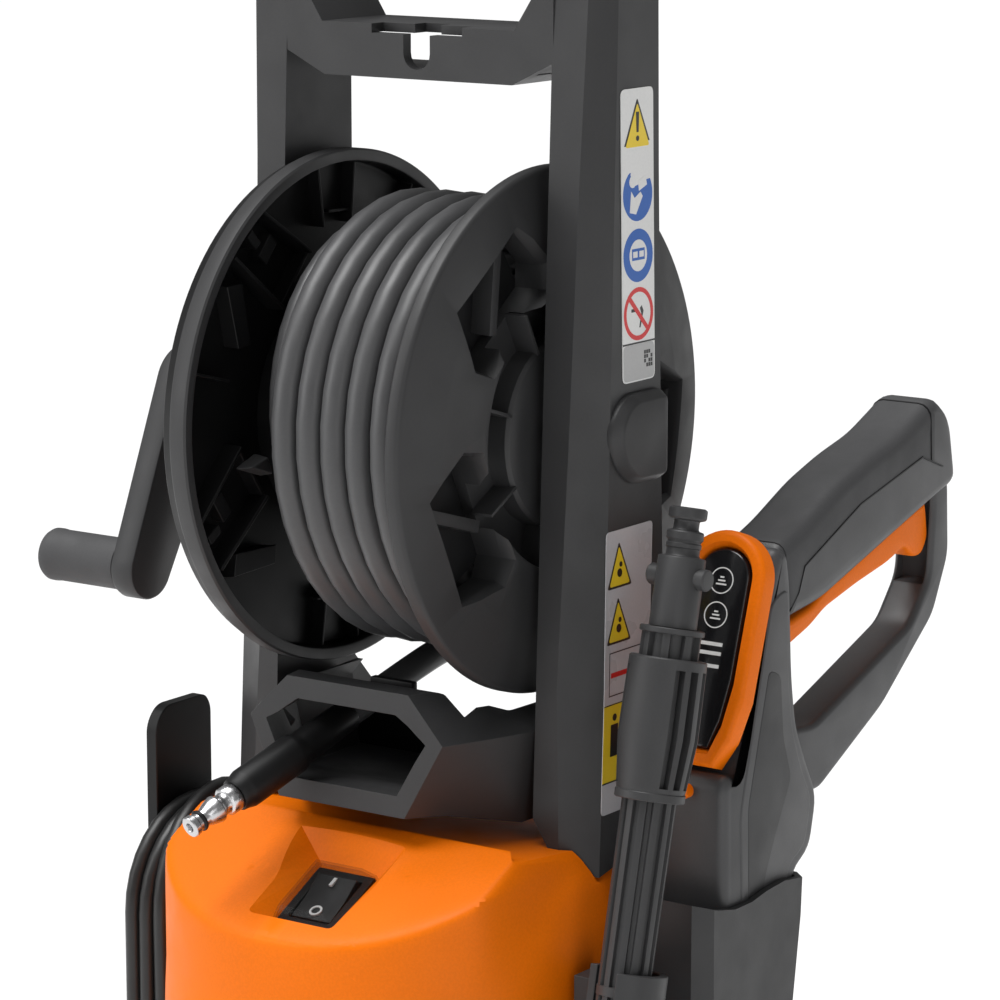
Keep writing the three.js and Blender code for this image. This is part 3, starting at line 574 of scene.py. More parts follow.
def right_flange():
    profile = [(6.4, 42), (6.4, 64), (20, 64.4), (34, 64.2), (38, 63.8), (40.6, 62.8), (41.8, 61), (41.8, 52),
               (60, 52), (60, 64.9), (60.6, 65.5), (63, 65.6), (89, 63.5), (90.6, 63.2), (92, 62.9),
               (112.8, 58.4), (113.6, 58.2), (114.6, 57.4), (115, 56.4), (115, 52.4), (114.4, 51.6),
               (104, 50.5), (66, 46.2), (47, 46), (47, 42)]
    body = turned(profile, "x", segments=144)
    outline = [(64.5, -24), (75, -25.5), (97, -15), (97, 15), (75, 25.5), (64.5, 24)]
    spread = (1.07, 1.08, 1.16, 1.16, 1.08, 1.07)
    grow = (-1, 1.5, 3, 3, 1.5, -1)
    cutters = []
    for middle in OPENINGS:
        inside = [polar(radius, middle + d) for radius, d in outline]
        wide = [polar(radius + g, middle + d * f) for (radius, d), g, f in zip(outline, grow, spread)]
        cutters.append(loft([[(40, y, z) for y, z in inside], [(59.5, y, z) for y, z in inside],
                             [(66, y, z) for y, z in wide]]))
    mesh = combined(body, cutters, "DIFFERENCE")
    extras, behind = [], []
    for middle in OPENINGS:
        back = [(62, -27), (99, -17), (99, 17), (62, 27)]
        behind.append(loft([[(x, *polar(radius, middle + d)) for radius, d in back] for x in (45.5, 46.5)]))
        stay = [Vector(polar(97, middle - 12)), Vector(polar(64, middle + 7))]
        along = (stay[1] - stay[0]).normalized()
        off = Vector((-along.y, along.x)) * 2.6
        bar = [stay[0] + off, stay[1] + off, stay[1] - off, stay[0] - off]
        extras.append(loft([[(46.6, y, z) for y, z in bar], [(56, y * 0.99, z * 0.99) for y, z in bar]]))
        rail = [(94, -13), (97, -13), (97, 13), (94, 13)]
        extras.append(loft([[(x, *polar(radius, middle + d)) for radius, d in rail] for x in (46.6, 55)]))
    for k in range(8):
        rib = block((52, 63), (40.5, 61), (-0.7, 0.7))
        rib.transform(Matrix.Rotation(radians(28 + 45 * k), 4, "X"))
        extras.append(rib)
    show("flange_right_shell", rounded(joined(mesh, *extras), 0.6, 34), "reel", DARK,
         ["reel_flange_right"], smooth=30)
    # The plates behind the openings get black plastic as painted shade: the inside there is the flange's dark
    # grey, darkened only by shadow.
    show("flange_right_painted_shade_backs", joined(*behind), "reel", BLACK)


def left_flange():
    profile = [(6.4, -68), (6.4, -60), (30, -60), (34, -64.3), (108.6, -64.3), (109.4, -63.5), (109.6, -54.6),
               (110.2, -54), (114.2, -54), (115, -54.7), (115, -61.2), (114.4, -62), (112.6, -67.4),
               (111.8, -68)]
    shell = turned(profile, "x", segments=144)
    parts = [shell]

    def wall(a, b, x=(-64.6, -55.6), thick=0.8):
        along = Vector((b[0] - a[0], b[1] - a[1])).normalized()
        off = Vector((-along.y, along.x)) * thick
        parts.append(loft([[(w, a[0] + off.x, a[1] + off.y), (w, b[0] + off.x, b[1] + off.y),
                            (w, b[0] - off.x, b[1] - off.y), (w, a[0] - off.x, a[1] - off.y)] for w in x]))

    def spun(point, angle):
        y, z = point
        c, s = cos(radians(angle)), sin(radians(angle))
        return (y * c - z * s, y * s + z * c)

    pocket = [((-58.5, 93), (-24, 71.6)), ((-78, 75), (-44, 48.7))]
    for angle in (0, 77.5, -137):
        (a, b), (c, d) = [[spun(q, angle) for q in wall_ends] for wall_ends in pocket]
        wall(a, b, (-64.6, -54.4))
        wall(c, d, (-64.6, -54.4))
        wall(b, d, (-64.6, -57))
        middle = [spun(q, angle) for q in ((-55, 71), (-47, 80))]
        wall(middle[0], middle[1], (-64.6, -58), 3.4)
        wall(spun((-66, 84), angle), spun((-60, 78), angle), (-64.6, -56), 2.2)
        wedge = [spun(q, angle) for q in ((-82, 63.4), (-71.5, 63.7), (-66, 36), (-74.5, 35))]
        parts.append(loft([[(-64.5, y, z) for y, z in wedge],
                           [(-57, y * 0.985, z * 0.985) for y, z in wedge]]))
    for angle in (60, 84, 98, 165, 262, 276, 290, 318, 12, 30):
        wall(polar(82, angle), polar(109, angle), (-64.6, -57.5), 0.6)
    for angle in (88, 265, 20):
        wall(polar(88, angle - 6), polar(88, angle + 6), (-64.6, -59), 0.7)
    show("flange_left_shell", joined(*parts), "reel", BLACK, ["reel_flange_left"],
         bevel=0.45)
    tongue = loft([[(-52, -84, -16), (-52, -70, -11), (-52, -66, -22)],
                   [(-44, -82, -15), (-44, -70, -12), (-44, -67, -20)]])
    show("hose_clamp", tongue, "reel", DARK, bevel=0.8)
    rim = turned([(109.9, -53.9), (110.4, -53.6), (114.4, -53.6), (115.2, -54.4), (115.2, -61.4),
                  (114.6, -62.4), (113.9, -62.2), (113.9, -54.2)], "x", segments=144)
    show("flange_left_rim", rim, "reel", DARK, smooth=40)


right_flange()
left_flange()


# ---- hood
HOOD_BACK, HOOD_BOTTOM = 28, -560
HOOD_LEVELS = [(HOOD_BOTTOM, 104, -126), (-480, 106, -132), (-300, 106, -135), (-235, 105, -133),
               (-214, 104, -126), (-200, 101.5, -114), (-188, 98, -100), (-176, 89, -80), (-170, 80, -66)]
SWITCH_CENTRE, SWITCH_SLOPE = (9, -100, -197), radians(27)
PLATEAU_HALF, PLATEAU_FADE = 84, 11
WALL_HALF, WALL_DEPTH, CREASE = 105, 113.5, 4
HOOD_SIDE_END, HOOD_POWER = -20, 2.3         # where the flat sides start, and the plan's superellipse power
POST_INNER, POST_REAR = 70.4, 26


def post_rings(grow=0.0):
    def level(z, front, front_outer, side_front, side):
        return [(POST_INNER - grow, front - grow, z), (front_outer + grow / 2, front - grow, z),
                (side + grow, side_front - grow, z), (side + grow, POST_REAR + grow, z),
                (POST_INNER - grow, POST_REAR + grow, z)]
    low = [(x, y, h - 4 * grow) for (x, y, _), h in zip(level(0, -34, 84, -25, 99),
                                                       (-164, -185, -188, -178, -164))]
    return [low, level(-107, -31.5, 81, -21, 98.5), level(0, -27.3, 84, -14, 96),
            level(114, -22.7, 86, -8, 94), level(204, -19.1, 88.5, -4, 93)]


def mirrored(rings):
    return [[(-x, y, z) for x, y, z in ring] for ring in rings]


def plan_ring(half, front, z, count=80):
    """The hood's outline at one height: straight sides and a superellipse round the front"""
    power = 2 / HOOD_POWER
    ring = [(-half, HOOD_BACK, z)]
    for i in range(count + 1):
        a = pi * i / count
        across = -(1 if cos(a) > 0 else -1) * abs(cos(a)) ** power
        depth = (front - HOOD_SIDE_END) * abs(sin(a)) ** power
        ring.append((half * across, HOOD_SIDE_END + depth, z))
    ring.append((half, HOOD_BACK, z))
    return ring


def plateau(x, y, z):
    """The hood round the switch is a flat slope that ends in a rounded crease above the upright wall"""
    slope_y = -100 + (z + 188) * cos(SWITCH_SLOPE) / sin(SWITCH_SLOPE)
    across = min(1, abs(x) / WALL_HALF) ** HOOD_POWER
    wall_y = HOOD_SIDE_END - WALL_DEPTH * (1 - across) ** (1 / HOOD_POWER)
    behind = slope_y - wall_y
    flat_y = wall_y + (behind + (behind ** 2 + CREASE ** 2) ** 0.5) / 2
    weight = 1 - ease((abs(x) - PLATEAU_HALF) / PLATEAU_FADE)
    return (x, y + weight * min(0, flat_y - y), z)


def hood_skin(levels, thin=0.0):
    return loft([[plateau(*p) if z > -300 else p for p in plan_ring(w - thin, f + thin, z)]
                 for z, w, f in levels])


def hood():
    levels = smooth_path(HOOD_LEVELS, 8)
    outer = hood_skin(levels)
    inner = hood_skin([(z - 3.2 if i else z - 6, w - 3, f + 3) for i, (z, w, f) in enumerate(levels)])
    for v in inner.vertices:
        if v.co.y > HOOD_BACK - 1:
            v.co.y += 8
        elif v.co.z > -260:
            v.co.y += 3
    shell = combined(outer, [inner], "DIFFERENCE")
    well = combined(tilted(block((-42, 34), (-33, 50), (-24, 60)), SWITCH_CENTRE, SWITCH_SLOPE),
                    [hood_skin(levels, 1.1)], "INTERSECT")
    shell = combined(shell, [well], "UNION")
    recess = loft([[(-17.5, -19.8, 0), (17.3, -19.8, 0), (17.3, 22, 0), (-17.5, 22, 0)],
                   [(-36.5, -21, 17), (19.8, -21, 17), (30, 46, 17), (-50, 46, 17)]])
    cuts = [tilted(rounded(recess, 2.2, 60, 3), SWITCH_CENTRE, SWITCH_SLOPE),
            tilted(block((-13.7, 13.7), (-16.3, 16.3), (-30, 1)), SWITCH_CENTRE, SWITCH_SLOPE),
            loft(post_rings(0.6)), loft(mirrored(post_rings(0.6))),
            turned([(0, -230), (8, -230), (8, -160), (0, -160)], "z", (82, -8, 0), 24)]
    shell = combined(shell, cuts, "DIFFERENCE")
    show("hood_shell", shell, "machine", ORANGE, ["hood"], smooth=34)


hood()

# ---- crank
CRANK_END = (-39, -78)


def crank():
    away = atan2(CRANK_END[1], CRANK_END[0])

    def outline(r0, r1):
        points = []
        for i in range(25):
            a = away + pi / 2 + pi * i / 24
            points.append((r0 * cos(a), r0 * sin(a)))
        for i in range(25):
            a = away - pi / 2 + pi * i / 24
            points.append((CRANK_END[0] + r1 * cos(a), CRANK_END[1] + r1 * sin(a)))
        return points
    rings = [[(x, y, z) for y, z in outline(20 - g, 14.5 - g)]
             for x, g in ((-137, 1.6), (-137.5, 0.5), (-138.6, 0), (-148.4, 0), (-149.5, 0.5), (-150, 1.6))]
    arm = loft(rings)
    dish = loft([[(x, y, z) for y, z in outline(15 - g, 9.5 - g)] for x, g in ((-152, 0), (-148.6, 1.2))])
    arm = combined(arm, [dish], "DIFFERENCE")
    boss = turned([(6.3, -140), (15.2, -140), (16, -139), (16, -102.3), (15.2, -101.5), (6.3, -101.5)], "x",
                  segments=64)
    hub = turned([(0, -150.2), (8.8, -150.2), (9.6, -149.4), (9.6, -147), (0, -147)], "x", segments=48)
    show("crank_arm_shell", joined(arm, boss, hub), "reel", DARK, ["crank_arm"], smooth=30)
    profile = [(4.6, -151), (11.4, -151), (12.2, -151.6), (12.25, -153), (11.9, -156), (11.9, -189),
               (12.25, -192), (12.2, -194.6), (11.4, -196), (9.4, -196), (4.6, -195)]
    show("crank_grip_sleeve", turned(profile, "x", (0, *CRANK_END), 72), "crank_grip", RUBBER,
         ["crank_grip"], smooth=40)


crank()

# ---- gun
GUN_X = 130
RING_FOOT, RING_TOP = Vector((-4, -137)), Vector((28, -40))
RING_LEAN = -atan2(RING_TOP.x - RING_FOOT.x, RING_TOP.y - RING_FOOT.y)
RING_LENGTH = (RING_TOP - RING_FOOT).length
BARREL = [(-3, -205), (-3.5, -146), (1, -140.5), (8, -143), (35.5, -55), (40, -48), (48, -51), (51, -64),
          (54, -107), (58, -130), (68, -150), (77, -165), (71, -190), (56, -197), (50, -230), (42, -300),
          (4, -300), (0, -260)]
CROWN = [(46, -50), (60, -46), (71, -42), (98, -30), (124, -22), (151, -16), (173, -7), (184, -2), (199, -13)]
GUARD = [(187, -36), (203, -36), (206, -45), (208, -80), (194, -107), (148, -141), (90, -169), (62, -158),
         (56, -134), (86, -137), (172, -107), (189, -88), (192, -52)]
TRIGGER = [(46, -101), (66, -99), (87, -93), (100, -87), (127, -81), (155, -76), (172, -71), (178, -77),
           (187, -78), (193, -70), (190, -52), (160, -60), (130, -69), (100, -78), (87, -84), (66, -88),
           (46, -88)]
TRIGGER_ROOM = [(44.5, -104), (44.5, -85), (66, -84.5), (85, -80.5), (98, -72), (128, -59.5), (190, -38),
                (194.5, -40), (194.5, -90), (120, -100)]


def filleted(points, reach, steps=4):
    """An outline with every corner turned into a short curve"""
    points = [Vector(p) for p in points]
    out = []
    for a, p, b in zip(points[-1:] + points[:-1], points, points[1:] + points[:1]):
        t = min(reach, 0.48 * (a - p).length, 0.48 * (b - p).length)
        start, end = p + (a - p).normalized() * t, p + (b - p).normalized() * t
        for i in range(steps + 1):
            s = i / steps
            out.append(start * (1 - s) ** 2 + p * 2 * s * (1 - s) + end * s ** 2)
    return out


def inset(points, depth):
    points = [Vector(p) for p in points]
    area = sum(a.x * b.y - b.x * a.y for a, b in zip(points, points[1:] + points[:1]))
    side = 1 if area > 0 else -1
    out = []
    for a, p, b in zip(points[-1:] + points[:-1], points, points[1:] + points[:1]):
        along = ((p - a).normalized() + (b - p).normalized()).normalized()
        out.append(p + Vector((-along.y, along.x)) * side * depth)
    return out


def pillow(outline, middle, half, radius, reach=8, steps=4):
    """An outline of (y, z) points run along X, its two sides rounded over"""
    smooth = filleted(outline, reach)
    profile = [(half - radius + radius * sin(pi / 2 * k / steps), radius * (1 - cos(pi / 2 * k / steps)))
               for k in range(steps + 1)]
    sides = [(-x, depth) for x, depth in reversed(profile)] + profile
    return loft([[(middle + x, p.x, p.y) for p in inset(smooth, depth)] for x, depth in sides])


def facing(mesh):
    return tilted(mesh, (GUN_X, *RING_FOOT), RING_LEAN)


def ring_outline(half, margin, count=24):
    top = RING_LENGTH - margin - half
    points = [(half * cos(pi * i / count), top + half * sin(pi * i / count)) for i in range(count + 1)]
    return points + [(-half, 30 + margin), (-half * 0.84, 12 + margin), (-half * 0.55, margin),
                     (half * 0.55, margin), (half * 0.84, 12 + margin), (half, 30 + margin)]


def ring_loft(levels):
    return loft([[(x, depth, z) for x, z in ring_outline(half, margin)] for half, margin, depth in levels])


def gun():
    room = prism("x", TRIGGER_ROOM, (GUN_X - 7.6, GUN_X + 7.6))
    barrel = pillow(BARREL, GUN_X, 18.5, 4.6)
    flank = pillow([(11, -205), (9, -160), (33, -70), (47, -66), (48, -107), (52, -131), (60, -150),
                    (69, -165), (64, -186), (50, -192), (48, -204)], GUN_X, 19.1, 1.2, 6)
    inlay = pillow([(16, -201), (15, -158), (31, -100), (41, -104), (44, -133), (51, -152), (40, -172),
                    (31, -190), (28, -201)], GUN_X, 19.3, 0.5, 4)
    grip_outline = CROWN + [(206, -45), (190, -49), (84, -80), (50, -84)]
    grip = combined(pillow(grip_outline, GUN_X, 15, 6), [room], "DIFFERENCE")
    guard = combined(pillow(GUARD, GUN_X, 10, 3.2, 6), [room.copy()], "DIFFERENCE")
    muzzle = turned([(0, -365), (11, -365), (13, -362), (13, -295), (0, -295)], "z", (GUN_X, 22, 0), 40)
    show("gun_shell", joined(barrel, flank, grip, guard, muzzle), "gun", GUN_GREY,
         ["gun_body"])

    above_seam = prism("x", [(52, -90), (61, -72), (66, -61), (114, -41), (170, -28), (181, -31), (179, 20),
                             (50, 20)], (GUN_X - 30, GUN_X + 30))
    soft = swollen(combined(pillow(grip_outline, GUN_X, 15, 6), [above_seam], "INTERSECT"), 0.6)
    show("soft_grip_shell", soft, "gun", RUBBER, ["gun_soft_grip"])
    show("gun_inlay", inlay, "gun", DARK)
    seam = [Vector(p) for p in ((46, -86), (61, -72), (66, -61), (114, -41), (170, -28), (189, -35))]
    seam_line = [p + Vector((0, 0.3)) for p in seam] + [p - Vector((0, 0.3)) for p in reversed(seam)]
    band = prism("x", seam_line, (GUN_X - 15.85, GUN_X + 15.85))
    cap_seam = combined(pillow(inset(grip_outline, -0.85), GUN_X, 15.85, 6.6),
                        [prism("x", [(178, -31), (178.7, -31), (175.7, 10), (175, 10)],
                               (GUN_X - 30, GUN_X + 30))], "INTERSECT")
    show("grip_seams", joined(band, cap_seam), "gun", BLACK)

    ring = ring_loft([(20, 1, 11), (21, 0, 10), (21, 0, 2.4), (20.5, 0.5, 1), (19.4, 1.6, 0.2), (18, 3, 0)])
    opening = ring_loft([(16.4, 4.6, -1), (15.2, 5.8, 0.9), (14, 7, 3), (13.5, 7.5, 4), (13.5, 7.5, 9.8)])
    show("gun_ring_shell", combined(facing(ring), [facing(opening)], "DIFFERENCE"), "gun", ORANGE,
         ["gun_ring"], smooth=40)
    panel = ring_loft([(13.1, 7.9, 9.5), (13.1, 7.9, 2.6), (12.6, 8.4, 1.8), (11.8, 9.2, 1.5)])
    show("gun_panel_shell", facing(panel), "gun", GLOSS_BLACK, ["gun_panel"], smooth=40)
    marks = []
    for height, radius in ((80, 5.8), (65, 5.8)):
        marks.append(turned([(radius - 0.5, 1.35), (radius, 1.35), (radius, 1.6), (radius - 0.5, 1.6)], "y",
                            (0, 0, height), 40))
        for level, width in ((-1.6, 2.6), (0, 1.8), (1.5, 1)):
            marks.append(block((-width, width), (1.35, 1.6), (height + level - 0.35, height + level + 0.35)))
    for height, width in ((52.5, 6), (48.5, 6), (43, 6)):
        marks.append(block((-width, width), (1.35, 1.6), (height - 0.8, height + 0.8)))
    show("panel_marks", facing(joined(*marks)), "gun", PRINT_WHITE)

    lever = pillow(TRIGGER, GUN_X, 6.8, 2.4, 4)
    show("trigger_lever", lever, "trigger", ORANGE, ["gun_trigger"])
    button = turned([(0, -9), (2.2, -9), (3, -8.2), (3, 3.4), (0, 3.4)], "y", (GUN_X, 0, -149), 32)
    show("lock_button", button, "gun_lock", ORANGE, ["gun_lock"], smooth=40)


gun()


# ---- lance
LANCE_TOP, LANCE_LEAN = (136, -14, -23), radians(-13.6)


def toothed(levels, slots, half_angle, step=2.5):
    """Rings of (z, radius, slot depth) with slots sunk at the given angles in degrees"""
    def within(angle):
        return any(abs((angle - slot + 180) % 360 - 180) < half_angle for slot in slots)
    angles = [step * k for k in range(int(360 / step))]
    return loft([[(*polar(radius - depth * within(a), a), z) for a in angles] for z, radius, depth in levels])


def on_lance(mesh):
    return tilted(mesh, LANCE_TOP, LANCE_LEAN)


def lance():
    nipple = turned([(0, 0), (7, 0), (8.1, -0.7), (8.2, -1.6), (8.2, -4.2), (7.6, -5), (5.6, -5.6),
                     (5.4, -6.2), (5.4, -9), (5.8, -9.6), (7.4, -10), (7.9, -10.6), (7.9, -13.4),
                     (7.4, -14), (7.1, -14.4), (7.1, -15), (7.5, -15.4), (7.5, -17), (7.1, -17.4), (7.1, -20),
                     (7.5, -20.6), (9.8, -21), (10.2, -21.6), (10.2, -50.7), (0, -50.7)])
    peg = [(0, 8), (4.5, 8), (4.6, 13.6), (4, 14.4), (0, 14.5)]
    pegs = [turned([(r, side * h) for r, h in peg], "x", (0, 0, -29.5), 36) for side in (-1, 1)]
    show("lance_nipple", on_lance(joined(nipple, *pegs)), "lance", LANCE_GREY,
         ["lance_adapter"], smooth=36)
    flange = turned([(0, -51), (13.4, -51), (13.8, -51.4), (13.8, -53.2), (13.2, -53.6), (0, -53.6)])
    cage = toothed([(-53.6, 12.6, 2.4), (-63.6, 12.6, 2.4)], range(0, 360, 45), 13)
    slots = [a for a in range(-90, 270, 26) if abs((a + 90 + 180) % 360 - 180) > 40]
    skirt = toothed([(-63.6, 15.9, 0), (-64.2, 16.5, 0), (-68, 16.6, 0), (-68.1, 16.6, 4), (-97, 17, 4),
                     (-117.8, 14.9, 3.4), (-117.9, 14.9, 0), (-120, 14.5, 0)], slots, 6.3)
    collar = turned([(0, -120), (14.6, -120), (15, -120.4), (15, -123.4), (14.6, -123.8), (0, -123.8)])
    ribs = range(5, 365, 30)
    tube = toothed([(-123.8, 11.6, 1.5), (-202.9, 11.1, 1.5), (-203, 11.4, 0), (-207, 11.4, 0),
                    (-207.1, 11.1, 1.5), (-392, 10.3, 1.5), (-392.1, 10.3, 0), (-398, 10.2, 0)], ribs, 7)
    show("lance_grip", on_lance(joined(flange, cage, skirt, collar, tube)), "lance", LANCE_GREY,
         ["lance_body"], smooth=30)


lance()


# ---- labels on the right post
SIDE_FACE = [(-185, 99), (-107, 98.5), (0, 96), (114, 94), (204, 93)]


def on_side(y, z, lift):
    for (z0, x0), (z1, x1) in zip(SIDE_FACE, SIDE_FACE[1:]):
        if z <= z1:
            return (x0 + (x1 - x0) * (z - z0) / (z1 - z0) + lift, y, z)
    return (SIDE_FACE[-1][1] + lift, y, z)


def sticker(outline, low, high):
    return loft([[on_side(p[0], p[1], lift) for p in outline] for lift in (low, high)])


def disc(y, z, radius, count=40):
    turns = [2 * pi * i / count for i in range(count)]
    return [(y + radius * cos(a), z + radius * sin(a)) for a in turns]


def plate(y0, y1, z0, z1):
    return [(y0, z0), (y1, z0), (y1, z1), (y0, z1)]


def annulus(y, z, outer, inner, low, high):
    big, small = disc(y, z, outer), disc(y, z, inner)
    rings = [[on_side(*p, low) for p in big], [on_side(*p, high) for p in big],
             [on_side(*p, high) for p in small], [on_side(*p, low) for p in small]]
    return loft(rings + rings[:1], caps=False)


def triangle(y, z, height, half):
    return filleted([(y - half, z), (y + half, z), (y, z + height)], 1.2, 2)


def labels():
    white, grey, yellow, black, blue, red = [], [], [], [], [], []
    code = [(12.5 + 1.7 * k, 29.5 + 1.9 * m) for k in range(4) for m in range(4) if (k * 3 + m * 5) % 4]
    rows = [(white, filleted(plate(-4, 21, 24, 149), 3), 0.05, 0.35),
            (grey, filleted(plate(-3.4, 20.4, 24.6, 40), 2.4), 0.35, 0.45),
            (black, plate(-3.8, 20.8, 40.2, 40.9), 0.35, 0.5),
            *[(black, plate(y, y + 1.4, z, z + 1.6), 0.45, 0.5) for y, z in code],
            (black, triangle(8.5, 123, 22, 11.2), 0.35, 0.45),
            (yellow, triangle(8.5, 124.2, 18.6, 9.2), 0.45, 0.55),
            (black, [(7.7, 130.4), (9.3, 130.4), (9.7, 139), (7.3, 139)], 0.55, 0.62),
            (black, disc(8.5, 127.8, 1.2, 16), 0.55, 0.62),
            *[(blue, disc(8.5, z, 11.4), 0.35, 0.5) for z in (104, 78)],
            (white, disc(4.6, 109.6, 2.6, 20), 0.5, 0.6),
            (white, [(2.2, 96.6), (7, 95.6), (12.2, 103), (10.6, 105), (6, 102.6), (3.4, 105.6)], 0.5, 0.6),
            (white, [(9.4, 105.4), (15.6, 107.6), (14.6, 111.6), (8.8, 109.8)], 0.5, 0.6),
            (white, disc(8.5, 78, 6.8, 28), 0.5, 0.58),
            (blue, plate(3.6, 13.4, 76, 81), 0.58, 0.62),
            (white, plate(4.4, 7.8, 77.2, 79.8), 0.62, 0.66),
            (white, plate(9.2, 12.6, 77.2, 79.8), 0.62, 0.66),
            (black, plate(3, 8, 54, 55.4), 0.35, 0.45),
            (black, [(9, 47), (10, 47), (12.4, 54), (11, 56.4), (9.6, 55.4), (10.6, 53)], 0.35, 0.45),
            (red, [(0.8, 59.2), (2.4, 60.8), (16.2, 46.8), (14.8, 45.2)], 0.45, 0.52)]
    for parts, outline, low, high in rows:
        parts.append(sticker(outline, low, high))
    red.append(annulus(8.5, 53, 11.4, 9.4, 0.35, 0.5))

    def slanted(u, z):
        """u runs from 0 at the label's front edge to 1 at its rear edge"""
        t = (z + 38) / -123
        front = -18 - 6 * t
        return (front + (36 - 2 * t) * u, z)

    def patch(u0, u1, z0, z1):
        return [slanted(u0, z0), slanted(u1, z0), slanted(u1, z1), slanted(u0, z1)]

    bend = SIDE_FACE[1][0]
    silver = [sticker(filleted(patch(0, 1, bend, -38), 2.4)[10:] + patch(0, 1, bend, -38)[:2], 0.05, 0.35),
              sticker(filleted(patch(0, 1, -161, bend), 2.4)[:10] + patch(0, 1, -161, bend)[2:], 0.05, 0.35)]
    lower = [(yellow, patch(0, 1, -147, -113), 0.35, 0.42),
             (red, patch(0.14, 0.5, -101.6, -99.4), 0.35, 0.42),
             (black, patch(0, 1, -113.5, -113), 0.42, 0.46),
             (black, patch(0, 1, -147.5, -146.8), 0.42, 0.46),
             (black, patch(0.16, 0.32, -136, -122), 0.42, 0.48),
             (black, disc(slanted(0.24, -119)[0], -119, 1.6, 16), 0.42, 0.48),
             *[(black, patch(0.42, 0.9, z, z + 1.5), 0.42, 0.46) for z in range(-141, -120, 4)],
             *[(black, patch(*sides), 0.35, 0.4) for sides in
               ((0.1, 0.9, -109.6, -109.1), (0.1, 0.9, -91, -90.5), (0.1, 0.115, -109, -91))]]
    for z in (-62, -86):
        y = slanted(0.3, z)[0]
        lower += [(black, triangle(y, z - 1, 20, 9.4), 0.35, 0.42),
                  (yellow, triangle(y, z, 17, 7.8), 0.42, 0.5),
                  (black, disc(y, z + 5.4, 1.9, 18), 0.5, 0.55),
                  (black, disc(y + 1, z + 9, 1.2, 14), 0.5, 0.55)]
    for parts, outline, low, high in lower:
        parts.append(sticker(outline, low, high))
    for name, parts, material in (
            ("label_white", white, PRINT_WHITE), ("label_grey", grey, PRINT_GREY),
            ("label_silver", silver, PRINT_SILVER), ("label_yellow", yellow, PRINT_YELLOW),
            ("label_black", black, PRINT_BLACK), ("label_blue", blue, PRINT_BLUE),
            ("label_red", red, PRINT_RED)):
        show(name, joined(*parts), "machine", material, smooth=20)


labels()


# ---- axle boss
def axle_boss():
    base = filleted([(25.6, -20.4), (25.6, 19.6), (-2, 19.6), (-10, 15), (-15, 7), (-15, -1), (-11, -11),
                     (-3, -18), (3, -20)], 6)
    levels = [(95.4, 0), (97.4, 0), (98, 0.3), (101, 2.6), (101.7, 3.2), (102, 4)]
    rings = [[(x, min(p.x, 25.6 - depth * 0.4), p.y) for p in inset(base, depth)] for x, depth in levels]
    show("axle_boss", loft(rings), "machine", DARK, ["reel_axle_cap"], smooth=30)


axle_boss()


# ---- switch
def on_switch(mesh):
    return tilted(mesh, SWITCH_CENTRE, SWITCH_SLOPE)


def switch():
    bar = block((-0.8, 0.8), (5.6, 10.4), (5.4, 6.4))
    ring = turned([(2.0, 2.2), (3.0, 2.2), (3.0, 3.3), (2.0, 3.3)], "z", (0, -7.4, 0), 32)
    show("switch_marks", on_switch(joined(bar, ring)), "rocker", PRINT_WHITE)


switch()


# ---- hose fittings and cord hooks
def fittings():
    sleeve = turned([(0, 0.4), (6.6, 0.4), (7.1, 1), (7.7, 30), (8, 32.6), (8.9, 34.4), (9, 36), (9, 64.6),
                     (8.6, 66), (7.9, 68), (7.5, 70.4), (7, 71), (0, 71)], place=SLEEVE_START, segments=72,
                    direction=HOSE_DIRECTION)
    sleeve_piece = show("sleeve_smooth", sleeve, "machine", BLACK, ["hose_sleeve"], smooth=40)
    nipple = turned([(0, 71.3), (6.2, 71.3), (6.5, 71.8), (6.5, 76.4), (6, 77), (5.1, 77.4), (4.9, 78),
                     (4.9, 80.6), (5.4, 81.2), (6.1, 81.8), (6.2, 82.4), (5.5, 85.6), (4.4, 88.6), (4, 89.4),
                     (4, 94.6), (4.4, 95), (4.8, 95.4), (4.8, 97.6), (4.4, 98), (2.2, 98), (2, 97.6), (2, 80),
                     (0, 80)],
                    place=SLEEVE_START, segments=72, direction=HOSE_DIRECTION)
    nipple_piece = show("nipple_smooth", nipple, "machine", STEEL, ["hose_nipple"], smooth=40)
    seal = turned([(4.1, 91), (4.7, 91.3), (4.95, 92), (4.7, 92.7), (4.1, 93)], place=SLEEVE_START,
                  segments=48, direction=HOSE_DIRECTION)
    seal_piece = show("nipple_seal", seal, "machine", BLACK, smooth=60)
    return [sleeve_piece, nipple_piece, seal_piece]


def cord_hook(name, z, sign, body):
    arm = turned([(0, -135.5), (21.6, -135.5), (21.6, -107.8), (21.2, -107.4), (0, -107.4)], "x",
                 (0, HOOK_Y, z), 64)
    corners = [(-20, -22), (20, -22), (20, 84), (16, 90), (-13, 90), (-20, 82)]
    outline = filleted([(HOOK_Y + y, z + sign * along) for y, along in corners], 9, 6)
    levels = [(-134.6, 0.5), (-135, 0), (-140.4, 0), (-141, 0.7), (-141, 2.2), (-140.3, 2.9)]
    paddle = loft([[(x, p.x, p.y) for p in inset(outline, depth)] for x, depth in levels])
    show(name + "_smooth", joined(arm, paddle), body, BLACK, [name], smooth=36)


TREAD_BARS, WHEEL_RIBS = 36, 6


